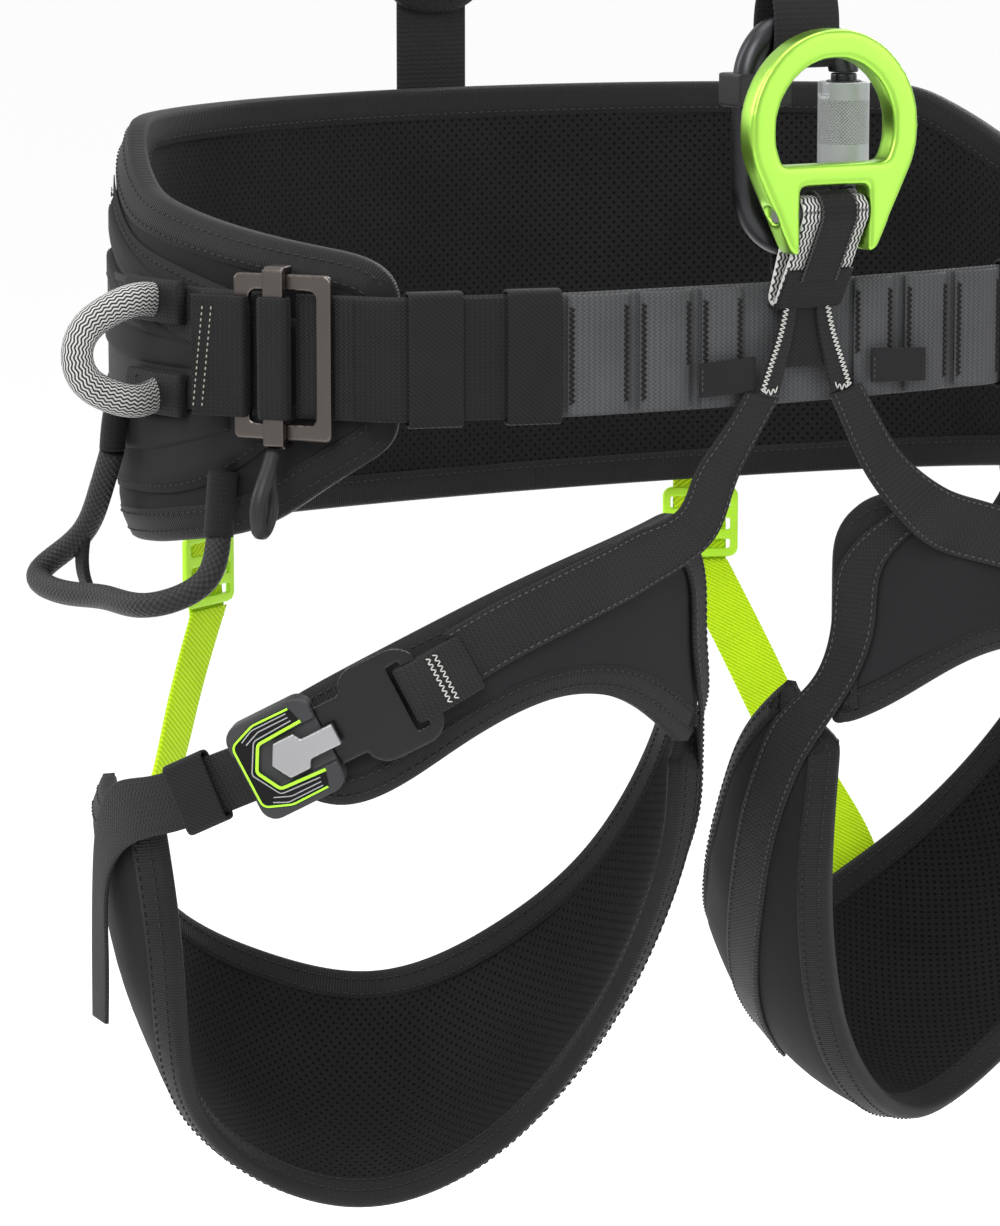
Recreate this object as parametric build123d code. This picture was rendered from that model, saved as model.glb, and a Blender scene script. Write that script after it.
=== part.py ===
from build123d import *
import os
from math import cos, radians, sin, sqrt

# Tree climbing saddle: a wide hip pad with a webbing belt, a ventral ring on a
# textile sling, a captive carabiner with a chest strap, two leg loops, two
# lateral attachment loops and two gear loops. Millimetres, +Z up, wearer
# faces -Y, wearer's left is +X. The origin is the centre of the waist opening
# at the height of the front webbing. "right" and "left" are the wearer's.

os.makedirs("parts", exist_ok=True)

# ---- driving dimensions -------------------------------------------------
GAP = 0.3                       # running gap between layers and moving pieces

WAIST_A, WAIST_B = 191, 130     # inner half-width and half-depth of the hip pad
LINING, PAD = 2, 10             # mesh lining and foam thickness
BINDING = 12                    # width of the elastic edge binding
COVER = 1.2                     # softshell overlay at the hips
WEB, WEB_T = 45, 2              # belt webbing width and thickness
WEB_Z0 = -26                    # lower edge of the belt webbing
WEB_Z1 = WEB_Z0 + WEB
BELT_FRONT_Y = -128             # belt webbing centreline at the front centre

RING_Y, PIN_Z = -147, 46        # ventral ring plane and its lower pin height
RING_TOP_Z, RING_R, RING_SECTION = 76, 36, 10.5
PIN_R = 3.4
CARABINER_X, CARABINER_Y = 2.5, -121
CARABINER_Z0, CARABINER_Z1 = 53.5, 91.5
CARABINER_R, CARABINER_ROD = 21, 5.5
CHEST_W = 28
BUCKLE_W, BUCKLE_H = 38, 60     # slide-block buckle

LEG_X, LEG_Y, LEG_TURN = -122, -43, 26
LEG_A, LEG_B = 105, 81          # inner semi-axes of a leg loop
LEG_LINING, LEG_PAD = 1.5, 8
LEG_WEB = 22

PAD_A, PAD_B = WAIST_A + LINING, WAIST_B + LINING
OUT_A, OUT_B = PAD_A + PAD, PAD_B + PAD
LEG_OUT_A = LEG_A + LEG_LINING + LEG_PAD
LEG_OUT_B = LEG_B + LEG_LINING + LEG_PAD


# ---- helpers ------------------------------------------------------------
def save(node, *shapes):
    """Write one node as a compound of its separate solids."""
    solids = [solid for shape in shapes for solid in shape.solids()]
    export_step(Compound(children=solids), f"parts/{node}.step")


def mirrored(shape):
    return mirror(shape, about=Plane.YZ)


def tube(a, b, wall, z0, z1):
    """Upright elliptical tube with inner semi-axes a, b."""
    base = Plane.XY.offset(z0)
    outer = extrude(base * Ellipse(a + wall, b + wall), amount=z1 - z0)
    return outer - extrude(base * Ellipse(a, b), amount=z1 - z0)


def box(x0, x1, y0, y1, z0, z1):
    centre = ((x0 + x1) / 2, (y0 + y1) / 2, (z0 + z1) / 2)
    return Location(centre) * Box(x1 - x0, y1 - y0, z1 - z0)


def outline(points, radii):
    """Closed 2-D face from corner points, each corner rounded by its radius."""
    return make_face(FilletPolyline(*points, radius=radii, close=True))


def side_prism(face, x0, x1):
    """A face drawn in (Y, Z) extruded along X."""
    return extrude(Plane((x0, 0, 0), x_dir=(0, 1, 0), z_dir=(1, 0, 0)) * face, amount=x1 - x0)


def front_prism(face, y0, y1):
    """A face drawn in (X, Z) extruded along +Y."""
    plane = Plane((0, y0, 0), x_dir=(1, 0, 0), z_dir=(0, -1, 0))
    return extrude(plane * face, amount=-(y1 - y0))


def rod(points, radii, radius):
    """Round bar along straight runs joined by tangent arcs."""
    path = FilletPolyline(*points, radius=radii)
    start = Plane(path @ 0, z_dir=path % 0)
    return sweep(start * Circle(radius), path=path)


def ribbon(lower, upper, thickness):
    """Webbing between two edge curves, thickened to one side."""
    face = Face.make_surface_from_curves(Spline(*lower), Spline(*upper))
    return Solid.thicken(face, thickness)


def flat_band(path, width, thickness, offset=0.0):
    """Webbing standing on edge along a plan path, moved outward by offset."""
    start = path @ 0
    tangent = path % 0
    across = Vector(tangent.Y, -tangent.X, 0)
    plane = Plane(start + across * offset, x_dir=across, z_dir=tangent)
    return sweep(plane * Rectangle(thickness, width), path=path)


# ---- hip pad ------------------------------------------------------------
PAD_TOP, PAD_NOSE_Y = 72.5, -88
PAD_OUTLINE = [
    (175, PAD_TOP), (55, PAD_TOP), (10, 50), (PAD_NOSE_Y, 30), (PAD_NOSE_Y + 1, -36),
    (-50, -70), (0, -79), (60, -86), (175, -100),
]
PAD_RADII = [5, 40, 40, 20, 18, 60, 60, 60, 5]


def hip_pad():
    edge = outline(PAD_OUTLINE, PAD_RADII)
    inset = offset(edge, amount=-BINDING)
    whole = side_prism(edge, -230, 230)
    inner = side_prism(inset, -230, 230)
    lining = tube(WAIST_A, WAIST_B, LINING, -100, 80)
    foam = tube(PAD_A, PAD_B, PAD, -100, 80)
    rim = tube(WAIST_A - 0.5, WAIST_B - 0.5, LINING + PAD + 0.8, -100, 80)
    save("hip_pad_lining", lining & inner)
    save("hip_pad", foam & inner)
    save("hip_pad_binding", (rim & whole) - inner)


def hip_covers():
    """Layered softshell panels over each hip, with three stacked bands."""
    corners = [(-74, 10), (-40, 22), (8, 34), (45, 54), (45, -64), (-30, -58), (-74, -24)]
    panel = outline(corners, [8, 20, 20, 4, 4, 20, 8])
    sleeve = tube(OUT_A + GAP, OUT_B + GAP, COVER, -90, 80)
    cover = sleeve & side_prism(panel, -230, 0)
    save("hip_covers", cover, mirrored(cover))


# ---- belt webbing -------------------------------------------------------
SHELL = OUT_A + 2 * GAP + COVER, OUT_B + 2 * GAP + COVER   # outside of the covers
BELT_CORNERS = [(-179, -74), (-155, -102), (-90, -120)]
BELT_POINTS = BELT_CORNERS + [(0, BELT_FRONT_Y)] + [(-x, y) for x, y in reversed(BELT_CORNERS)]
BELT_RADII = [20, 100, 420, 100, 20]
BELT_MID_Z = (WEB_Z0 + WEB_Z1) / 2
TAIL_LIFT = WEB_T + 0.8         # folded-back tail lies outside the belt
TAIL_START_X, TAIL_END_X = 167, 112


def belt_path():
    return FilletPolyline(*[(x, y, BELT_MID_Z) for x, y in BELT_POINTS], radius=BELT_RADII)


def belt():
    a, b = SHELL
    back = tube(a, b, WEB_T, WEB_Z0, WEB_Z1) & box(-230, 230, -52, 230, -100, 100)
    save("waist_webbing", back)
    path = belt_path()
    save("front_webbing", flat_band(path, WEB, WEB_T))
    tail = flat_band(path, WEB - 1, WEB_T, TAIL_LIFT)
    right = tail & box(-TAIL_START_X, -TAIL_END_X, -200, 0, -100, 100)
    save("strap_tails", right, mirrored(right))


KEEPER_GAP = 0.7


def keeper(x):
    """Elastic band round belt and tail, centred on the belt at x."""
    run = Vector(*BELT_CORNERS[2]) - Vector(*BELT_CORNERS[1])
    share = (x - BELT_CORNERS[1][0]) / run.X
    centre = Vector(*BELT_CORNERS[1]) + run * share
    depth = TAIL_LIFT + WEB_T + 2 * KEEPER_GAP
    wall = 1.2
    plane = Plane((centre.X, centre.Y, BELT_MID_Z), x_dir=run, z_dir=(0, 0, 1))
    band = Box(20, depth + 2 * wall, WEB + 2 * KEEPER_GAP + 2 * wall)
    hole = Box(21, depth, WEB + 2 * KEEPER_GAP)
    return plane * (Location((0, -TAIL_LIFT / 2, 0)) * (band - hole))


def keepers():
    for name, x in (("outer_keeper", -141), ("inner_keeper", -106)):
        save(f"right_{name}", keeper(x))
        save(f"left_{name}", mirrored(keeper(x)))


# ---- slide-block buckles ------------------------------------------------
BUCKLE_AT = 29                  # ellipse parameter of the buckle, degrees


def buckle_plane():
    """Origin behind the buckle, X along the belt to the front, Z outward."""
    a, b = SHELL
    t = radians(BUCKLE_AT)
    outward = Vector(-cos(t) / a, -sin(t) / b, 0)
    along = Vector(a * sin(t), -b * cos(t), 0)
    point = Vector(-a * cos(t), -b * sin(t), BELT_MID_Z)
    return Plane(point + outward.normalized() * 5.2, x_dir=along, z_dir=outward)


def buckles():
    plane = buckle_plane()
    plate = Rectangle(BUCKLE_W, BUCKLE_H) - Pos(0, 0) * Rectangle(BUCKLE_W - 12, WEB + 3)
    plate = fillet(plate.vertices(), 2.5)
    frame = extrude(plate, amount=3)
    bar = Pos(-2, 0, 5.2) * Box(8, BUCKLE_H + 4, 3.6)
    hook = Pos(-2, BUCKLE_H / 2 + 1.6, 1.4) * Box(8, 2.4, 7.6)
    toe = Pos(-2, BUCKLE_H / 2 - 0.6, -1.6) * Box(8, 6.8, 2)
    slider = bar + hook + toe
    slider += mirror(hook + toe, about=Plane.XZ)
    loop_out = Pos(-24, 0, 1.5) * Box(21, WEB - 1, 9)
    loop_in = Pos(-22, 0, 1.5) * Box(21.5, WEB + 1, 4.6)
    loop = loop_out - loop_in
    for node, shape in (("frames", frame), ("loops", loop)):
        placed = plane * shape
        save(f"buckle_{node}", placed, mirrored(placed))
    placed = plane * slider
    save("right_buckle_slider", placed)
    save("left_buckle_slider", mirrored(placed))


# ---- lateral attachment loops ------------------------------------------
LATERAL_Y, LATERAL_Z = -27, -4
LATERAL_R = 5.5                 # radius of the tubular webbing
LATERAL_HALF = 18               # half the distance between its two ends


def lateral():
    a, b = SHELL
    clear = WEB_T + GAP
    x = -(a * sqrt(1 - (LATERAL_Y / b) ** 2)) - 10.4
    y = LATERAL_Y
    points = [
        (x, y + 4, LATERAL_Z + LATERAL_HALF - 1), (x - 28, y - 2, LATERAL_Z + LATERAL_HALF),
        (x - 34, y - 3, LATERAL_Z), (x - 28, y - 2, LATERAL_Z - LATERAL_HALF),
        (x, y + 4, LATERAL_Z - LATERAL_HALF + 1),
    ]
    loop = rod(points, [9, 12, 9], LATERAL_R)
    band = tube(a + clear, b + clear, 4.6, -100, 100)
    sleeve = band & box(-240, -190, y - 5, y + 24, LATERAL_Z + 9, LATERAL_Z + 25)
    sleeves = [sleeve, mirror(sleeve, about=Plane.XY.offset(LATERAL_Z))]
    save("right_lateral_loop", loop)
    save("left_lateral_loop", mirrored(loop))
    save("lateral_sleeves", *sleeves, *[mirrored(s) for s in sleeves])


# ---- gear loops ---------------------------------------------------------
GEAR_ROUTE = [
    (-211, 13, -46), (-212, 24, -66), (-216, 38, -84), (-226, 46, -95),
    (-229, 27, -99), (-225, -9, -97), (-219, -45, -94), (-206, -54, -85), (-199, -50, -71),
]


def gear_loops():
    turns = []
    for before, corner, after in zip(GEAR_ROUTE, GEAR_ROUTE[1:], GEAR_ROUTE[2:]):
        first = Vector(*corner) - Vector(*before)
        second = Vector(*after) - Vector(*corner)
        angle = radians(first.get_angle(second)) / 2
        turns.append(0.45 * min(first.length, second.length) * cos(angle) / sin(angle))
    loop = rod(GEAR_ROUTE, turns, 4.8)
    save("right_gear_loop", loop)
    save("left_gear_loop", mirrored(loop))
    rear_tab = box(-216, -205.2, 7, 19, -41.5, WEB_Z0 - 0.4)
    front_tab = box(-204, -190.5, -57, -43, -68, -46)
    tabs = [rear_tab, front_tab - tube(OUT_A - 20, OUT_B - 20, 20 + 2 * GAP + COVER, -90, 0)]
    tabs.append(rod([(-188, -74, -40), (-194, -80, -52), (-190, -76, -64)], [6], 3))
    save("gear_loop_tabs", *tabs, *[mirrored(t) for t in tabs])


# ---- back strap, dorsal pad, chest strap -------------------------------
def straps():
    back_y = SHELL[1] + WEB_T + GAP
    save("back_strap", box(-16, 16, back_y, back_y + WEB_T, -20, 116))
    pad = extrude(Pos(0, 140) * RectangleRounded(50, 72, 20), amount=9)
    pad = Plane((0, back_y - 9.5, 0), x_dir=(1, 0, 0), z_dir=(0, -1, 0)) * pad
    save("dorsal_pad", Pos(0, 9 + 0.2, 0) * pad)
    z_top = CARABINER_Z1 + CARABINER_R + CARABINER_ROD
    x0, x1 = CARABINER_X - CHEST_W / 2, CARABINER_X + CHEST_W / 2
    y = CARABINER_Y
    loop = box(x0, x1, y - 7.9, y + 7.9, z_top - 22.5, z_top + 2.6)
    loop -= box(x0 - 1, x1 + 1, y - 5.9, y + 5.9, z_top - 20.5, z_top + 0.6)
    rise = box(x0, x1, y - 2, y + 2, z_top + 2.6, 188)
    save("chest_strap", loop + rise)


# ---- ventral sling, ring and carabiner ---------------------------------
SLING_W, SLING_T = 28, 2.6
LABEL_X, LABEL_DY = (-33, 42), 0.6
SLING_Y = (belt_path() @ 0.5).Y - WEB_T / 2 - GAP   # just ahead of the belt's front face


def sling():
    pin = Pos(RING_Y, PIN_Z)
    reach = PIN_R + 0.4
    foot = Pos(SLING_Y - 4.2, 14)
    inner = make_hull((pin * Circle(reach)).edges() + (foot * Circle(1.0)).edges())
    outer = offset(inner, amount=SLING_T)
    core = side_prism(outer - inner, -SLING_W / 2, SLING_W / 2)
    save("ventral_sling", core)
    sleeve = side_prism(offset(outer, amount=1.4) - offset(outer, amount=0.1), -7.5, 7.5)
    save("sling_sleeve", sleeve & box(-20, 20, -200, SLING_Y - 1.8, 20, 80))
    corners = [(-9, 9.9), (9, 9.9), (20, -20), (11, -22), (0, -6), (-11, -22), (-20, -20)]
    gusset = outline(corners, [3, 3, 4, 3, 4, 3, 4])
    save("ventral_gusset", front_prism(gusset, SLING_Y - 3.4, SLING_Y))
    front, rear = CARABINER_Y - CARABINER_ROD - 0.7, CARABINER_Y + CARABINER_ROD + 0.7
    tie = box(-3, 10, front - 1.8, rear + 1.8, WEB_Z1 + 1, 44)
    tie -= box(-4, 11, front, rear, WEB_Z1 + 2.8, 41.5)
    save("carabiner_tie", tie)
    tab = front_prism(RectangleRounded(24, 13, 2), SLING_Y - 1.2, SLING_Y)
    save("label_tabs", *[Location((x, LABEL_DY, -14)) * tab for x in LABEL_X])


def ring():
    tip = 4.0
    crown = Pos(0, RING_TOP_Z) * Circle(RING_R)
    tips = [Pos(x, 35) * Circle(tip) for x in (-15.5, 15.5)]
    outer = make_hull(crown.edges() + tips[0].edges() + tips[1].edges())
    void_top = Pos(0, RING_TOP_Z) * Circle(RING_R - RING_SECTION)
    cheek = SLING_W + 1.4       # the legs narrow the eye towards the sling
    void_foot = Pos(0, 62) * Rectangle(cheek, 2)
    inner = make_hull(void_top.edges() + void_foot.edges()) + Pos(0, 42) * Rectangle(cheek, 42)
    bar = Pos(0, 59.5) * Rectangle(44, 8)
    face = (outer - inner) + bar
    body = front_prism(face, RING_Y - 5, RING_Y + 5)
    bore = Location((0, RING_Y, PIN_Z), (0, 90, 0)) * Cylinder(PIN_R, 80)
    body -= bore
    save("ventral_ring", body)
    save("ring_pin", Location((0, RING_Y, PIN_Z), (0, 90, 0)) * Cylinder(PIN_R, 46))


GATE_Z0, GATE_Z1 = 52, 94
SLEEVE_Z0, SLEEVE_Z1 = 60, 91
GATE_R = 4.8


def carabiner():
    x0, x1 = CARABINER_X - CARABINER_R, CARABINER_X + CARABINER_R
    y = CARABINER_Y
    z0, z1 = CARABINER_Z0, CARABINER_Z1
    bend = CARABINER_R * 0.999
    points = [
        (x1, y, z0 + 20), (x1, y, z0 - CARABINER_R), (x0, y, z0 - CARABINER_R),
        (x0, y, z1 + CARABINER_R), (x1, y, z1 + CARABINER_R), (x1, y, z1 - 10),
    ]
    body = rod(points, [bend] * 4, CARABINER_ROD)
    pivot = GATE_Z0 - 4.5
    body -= box(x1 - 12, x1 + 12, y - 12, y + 12, pivot, GATE_Z1)
    hinge = Location((x1, y, pivot), (90, 0, 0))
    body += hinge * Cylinder(4.6, 9)
    body -= hinge * Cylinder(1.6, 20)
    body -= box(x1 - 7, x1 + 7, y - 2.4, y + 2.4, pivot - 5, pivot + 6)
    save("carabiner_body", body)
    top, foot = GATE_Z1 - 0.4, pivot + 2.5
    gate = Location((x1, y, (top + foot) / 2)) * Cylinder(GATE_R, top - foot)
    gate -= hinge * Cylinder(4.75, 20)
    gate += box(x1 - 3.2, x1 + 3.2, y - 2, y + 2, pivot - 3.4, pivot + 8)
    save("carabiner_gate", gate - hinge * Cylinder(1.66, 20))
    save("gate_rivet", hinge * Cylinder(1.6, 10))
    middle = Location((x1, y, (SLEEVE_Z0 + SLEEVE_Z1) / 2))
    length = SLEEVE_Z1 - SLEEVE_Z0
    save("sleeve_bush", middle * (Cylinder(6.6, length) - Cylinder(GATE_R + 0.1, length)))
    sleeve = Cylinder(9.5, length - 1) - Cylinder(6.7, length)
    sleeve -= Pos(0, 0, length / 2 - 3) * (Cylinder(10, 5) - Cylinder(8.2, 5)) & Box(30, 7, 40)
    save("gate_sleeve", middle * sleeve)
    bracket = box(x0 - 8, x0 + 15, y - 7, y + 7, 83, 95.2)
    save("carabiner_bracket", bracket - body)


# ---- leg loops ----------------------------------------------------------
LEG_FRAME = Location((LEG_X, LEG_Y, 0), (0, 0, -LEG_TURN))
# The hammock is a scoop between a rear top edge and a front lower edge, both
# listed from the inner to the outer thigh, on the foam's inner face.
REAR_EDGE = [(101.5, 4, -140), (99, 22, -158), (90, 38, -184), (73, 55, -214), (42, 72, -244),
             (-5, 79, -264), (-46, 74, -255), (-80, 57, -234), (-99, 34, -204), (-106, 10, -168)]
FRONT_EDGE = [(101.5, -16, -161), (100, -13, -191), (93, -8, -221), (81, -3, -252), (60, 2, -288),
              (28, 4, -320), (-12, 4, -334), (-52, -6, -319), (-74, -24, -291), (-80, -42, -256),
              (-82, -47, -220), (-88, -44, -172)]
HAMMOCK_BULGE = 0.13              # sag of the scoop as a share of its width
FRONT_TOP = [(-50, -130), (-36, -121), (0, -101), (36, -84), (73, -71), (107, -62)]
FRONT_FOOT = [(108, -158), (96, -144), (77, -128), (58, -124), (36, -130), (18, -140),
              (0, -152), (-26, -161), (-46, -152)]


def banded(upper, lower):
    """Face between an upper and a lower edge curve."""
    top, foot = Spline(*upper), Spline(*lower)
    return make_face([top, Line(top @ 1, foot @ 0), foot, Line(foot @ 1, top @ 0)])


def hammock_face():
    rear, front = Spline(*REAR_EDGE), Spline(*FRONT_EDGE)
    rows = []
    for i in range(17):
        u = i / 16
        top, foot = rear @ u, front @ u
        across = foot - top
        outward = across.cross(rear % u).normalized()
        row = []
        for v in (0, 0.25, 0.5, 0.75, 1):
            row.append(top + across * v + outward * (across.length * HAMMOCK_BULGE * sin(radians(180 * v))))
        rows.append(row)
    return Face.make_surface_from_array_of_points(rows)


def leg_surface(x, extra):
    """Distance in front of the loop's axis of its outside face plus extra, at x."""
    return -(LEG_OUT_B + extra) * sqrt(1 - (x / (LEG_OUT_A + extra)) ** 2)


def leg_ribbon(stations, width, thickness, extra):
    """Webbing lying on the front of the leg loop; stations are (x, z, slope)."""
    lower, upper = [], []
    for x, z, slope in stations:
        dx, dz = -sin(radians(slope)) * width / 2, cos(radians(slope)) * width / 2
        upper.append((x + dx, leg_surface(x + dx, extra), z + dz))
        lower.append((x - dx, leg_surface(x - dx, extra), z - dz))
    return ribbon(lower, upper, thickness)


def leg_pads():
    rear = hammock_face()
    front = front_prism(banded(FRONT_TOP, FRONT_FOOT), -130, -18)
    foam = tube(LEG_A + LEG_LINING, LEG_B + LEG_LINING, LEG_PAD, -370, -50)
    return {
        "leg_pad": Solid.thicken(rear, -LEG_PAD) - front,
        "leg_lining": Solid.thicken(rear, LEG_LINING) - front,
        "front_leg_pad": foam & front,
    }


BUCKLE_RISE = 27.5
LEG_BUCKLE_X, LEG_BUCKLE_Z = -24, -132


def leg_buckle_plane():
    """Back plane of the leg buckle: X along the strap, Z outward."""
    x = LEG_BUCKLE_X
    y = leg_surface(x, 0)
    outward = Vector(x / LEG_OUT_A ** 2, y / LEG_OUT_B ** 2, 0).normalized()
    level = Vector(-outward.Y, outward.X, 0)
    along = level * cos(radians(BUCKLE_RISE)) + Vector(0, 0, sin(radians(BUCKLE_RISE)))
    return Plane(Vector(x, y, LEG_BUCKLE_Z) + outward * 0.8, x_dir=along, z_dir=outward)


def leg_buckle():
    plane = leg_buckle_plane()
    case = extrude(Pos(-21, 0) * RectangleRounded(33, 37, 6), amount=11)
    case -= Pos(-12, 0, 5.2) * Box(22, 25, 3.4)
    case -= Pos(-21, 0, 10.2) * Box(40, 17, 2.4)
    case -= Pos(-33, 0, 4.4) * Box(14, LEG_WEB + 1.4, 3.4)
    plate = Pos(21, 0) * RectangleRounded(31, 37, 9)
    plate -= Pos(28, 0) * Rectangle(5, LEG_WEB + 3)
    plate += Pos(-4, 0) * Rectangle(22, 23)
    frame = Pos(0, 0, 4) * extrude(plate, amount=2.4)
    hexagon = extrude(Pos(-18, 0) * RegularPolygon(8, 6), amount=3.2)
    latch = Pos(0, 0, 9.3) * (hexagon + Pos(-6, 0, 1.6) * Box(12, 8, 3.2))
    return {
        "leg_buckle_body": plane * case,
        "leg_buckle_frame": plane * frame,
        "leg_buckle_latch": plane * latch,
    }


RISER_FREE = [((125.7, -37.7, -20), (139, -32, -23)), ((117, -41, -34), (131, -34, -37)),
              ((107, -45, -48), (122.5, -38, -54)), ((98, -59, -61), (113, -49, -73))]
RISER_SEWN = [(88, -76.5, 27), (78, -80.5, 26), (67, -84.6, 25), (53, -90.2, 24), (36, -97.5, 25),
              (17, -108, 26)]


def riser():
    """Front riser from the sling foot to the leg buckle, sewn along the pad."""
    upper = [left for left, right in RISER_FREE]
    lower = [right for left, right in RISER_FREE]
    for x, z, slope in RISER_SEWN:
        dx, dz = -sin(radians(slope)) * LEG_WEB / 2, cos(radians(slope)) * LEG_WEB / 2
        upper.append((x + dx, leg_surface(x + dx, 1.3), z + dz))
        lower.append((x - dx, leg_surface(x - dx, 1.3), z - dz))
    return ribbon(upper, lower, 1.8)


THIGH_PATH = [(-17, -92), (-17, -112), (-13, -134), (-6, -156), (2, -180), (12, -205)]
TAIL_PATH = [(-162, -198), (-163.5, -225), (-164, -254)]


def wrapped_ribbon(stations, half_angle, thickness, extra):
    """Webbing running up or down the side of the loop; stations are (angle, z)."""
    a, b = LEG_OUT_A + extra, LEG_OUT_B + extra
    edges = []
    for side in (-half_angle, half_angle):
        turned = [(radians(angle + side), z) for angle, z in stations]
        edges.append([(a * cos(t), b * sin(t), z) for t, z in turned])
    return ribbon(edges[0], edges[1], thickness)


def leg_straps():
    strap = leg_ribbon([(-101, -171, 22), (-88, -165, 24), (-72, -157, 26), (-56, -149, 27)],
                       LEG_WEB - 1, 1.8, 1.6)
    tail = wrapped_ribbon(TAIL_PATH, 4, 1.6, 1.0)
    keeper_out = leg_ribbon([(-84, -163, 25), (-75, -158.5, 26), (-66, -154, 27)], LEG_WEB + 6, 5.4, 0.4)
    keeper_in = leg_ribbon([(-90, -166, 24), (-75, -158.5, 26), (-60, -151, 27)], LEG_WEB + 2.4, 3.6, 1.0)
    return {
        "leg_strap": Compound(children=[strap, tail]),
        "leg_keeper": keeper_out - keeper_in,
        "leg_riser": Compound(children=[riser(), wrapped_ribbon(THIGH_PATH, 5, 1.8, 1.0)]),
    }


def legs():
    pieces = {**leg_pads(), **leg_buckle(), **leg_straps()}
    for name, shape in pieces.items():
        placed = LEG_FRAME * shape
        save(f"right_{name}", placed)
        save(f"left_{name}", mirrored(placed))


# ---- rear elastic risers ------------------------------------------------
RISER_W = 24
RISER_TOP = {"right": (-119.4, 116.9, -100), "left": (114.4, 119.4, -100)}
RISER_KNEE = {"right": (-189.3, 46.3, -223.7), "left": (150.1, 53.3, -251.9)}     # over the pad's rim
RISER_FOOT = {"right": (-186.7, 42.7, -236.5), "left": (149.1, 48.3, -263.7)}     # sewn flat on the pad
RISER_ACROSS = {"right": (-0.785, -0.62, 0), "left": (-0.983, 0.187, 0)}          # width direction at the foot


def rear_risers():
    tabs = []
    for side in ("right", "left"):
        top, foot = Vector(*RISER_TOP[side]), Vector(*RISER_FOOT[side])
        outward = Vector(top.X / SHELL[0] ** 2, top.Y / SHELL[1] ** 2, 0).normalized()
        level = Vector(-outward.Y, outward.X, 0)
        hang = Plane(top, x_dir=level, z_dir=outward)
        plate = Pos(0, -13) * RectangleRounded(RISER_W + 8, 30, 4)
        plate -= Pos(0, -4.5) * Rectangle(RISER_W + 1.5, 5)
        plate -= Pos(0, -14) * Rectangle(RISER_W + 1.5, 5)
        plate -= Pos(0, -22.5) * Rectangle(RISER_W + 1.5, 4)
        save(f"{side}_riser_adjuster", hang * (Pos(0, 0, -1.3) * extrude(plate, amount=2.6)))
        tabs.append(hang * (Pos(0, 13, 0) * Box(RISER_W, 22, 2.4)))
        head = top + Vector(0, 0, -29.5)
        knee, across = Vector(*RISER_KNEE[side]), Vector(*RISER_ACROSS[side])
        drop = [(head + (knee - head) * t, (level * (1 - t) + across * t).normalized()) for t in (0, 0.35, 0.7, 1)]
        drop.append((foot, across.normalized()))
        edges = [[tuple(p + turn * (k * RISER_W / 2)) for p, turn in drop] for k in (-1, 1)]
        save(f"{side}_rear_riser", ribbon(edges[0], edges[1], 1.8))
    save("riser_tabs", *tabs)


hip_pad()
hip_covers()
belt()
keepers()
buckles()
lateral()
gear_loops()
straps()
sling()
ring()
carabiner()
legs()
rear_risers()
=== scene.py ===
import bmesh
import bpy
import numpy as np
from math import cos, pi, radians, sin, sqrt, tan
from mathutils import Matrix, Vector, noise


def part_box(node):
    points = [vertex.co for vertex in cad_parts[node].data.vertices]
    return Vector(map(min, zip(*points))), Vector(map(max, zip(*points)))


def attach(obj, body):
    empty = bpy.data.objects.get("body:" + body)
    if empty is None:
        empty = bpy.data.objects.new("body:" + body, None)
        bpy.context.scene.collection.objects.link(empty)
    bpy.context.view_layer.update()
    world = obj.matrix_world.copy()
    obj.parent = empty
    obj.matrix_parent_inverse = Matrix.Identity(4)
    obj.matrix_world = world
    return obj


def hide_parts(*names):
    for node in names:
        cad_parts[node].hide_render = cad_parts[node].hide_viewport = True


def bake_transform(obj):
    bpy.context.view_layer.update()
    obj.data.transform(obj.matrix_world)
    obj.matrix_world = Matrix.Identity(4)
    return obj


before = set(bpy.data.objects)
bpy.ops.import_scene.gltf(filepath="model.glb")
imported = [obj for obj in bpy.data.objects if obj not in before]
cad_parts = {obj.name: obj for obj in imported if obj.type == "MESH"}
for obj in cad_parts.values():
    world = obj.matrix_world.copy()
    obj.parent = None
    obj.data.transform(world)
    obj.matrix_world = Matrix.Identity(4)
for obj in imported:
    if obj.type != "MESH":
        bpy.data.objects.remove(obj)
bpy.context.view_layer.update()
MM = 0.001

# ---- dimensions shared with the CAD, in millimetres ---------------------
WAIST_A, WAIST_B, LINING, PAD = 191, 130, 2, 10
PAD_A, PAD_B = WAIST_A + LINING, WAIST_B + LINING
OUT_A, OUT_B = PAD_A + PAD, PAD_B + PAD
BINDING = 12
SHELL_A, SHELL_B = OUT_A + 1.8, OUT_B + 1.8
WEB, WEB_T, WEB_Z0 = 45, 2, -26
WEB_MID = WEB_Z0 + WEB / 2
LEG_X, LEG_Y, LEG_TURN = -122, -43, 26
LEG_A, LEG_B, LEG_LINING, LEG_PAD = 105, 81, 1.5, 8
LEG_OUT_A, LEG_OUT_B = LEG_A + LEG_LINING + LEG_PAD, LEG_B + LEG_LINING + LEG_PAD
RING_Y, PIN_Z = -147, 46
CARABINER_X, CARABINER_Y, CARABINER_TOP = 2.5, -121, 118
SLEEVE_X, SLEEVE_R = 23.5, 9.5
SIDES = (("right", 1), ("left", -1))


# ---- small maths --------------------------------------------------------
def unit(v):
    v = np.asarray(v, float)
    return v / np.maximum(np.linalg.norm(v, axis=-1, keepdims=True), 1e-9)


def arc(points):
    steps = np.linalg.norm(np.diff(points, axis=0), axis=1)
    return np.concatenate([[0], np.cumsum(steps)])


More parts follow.
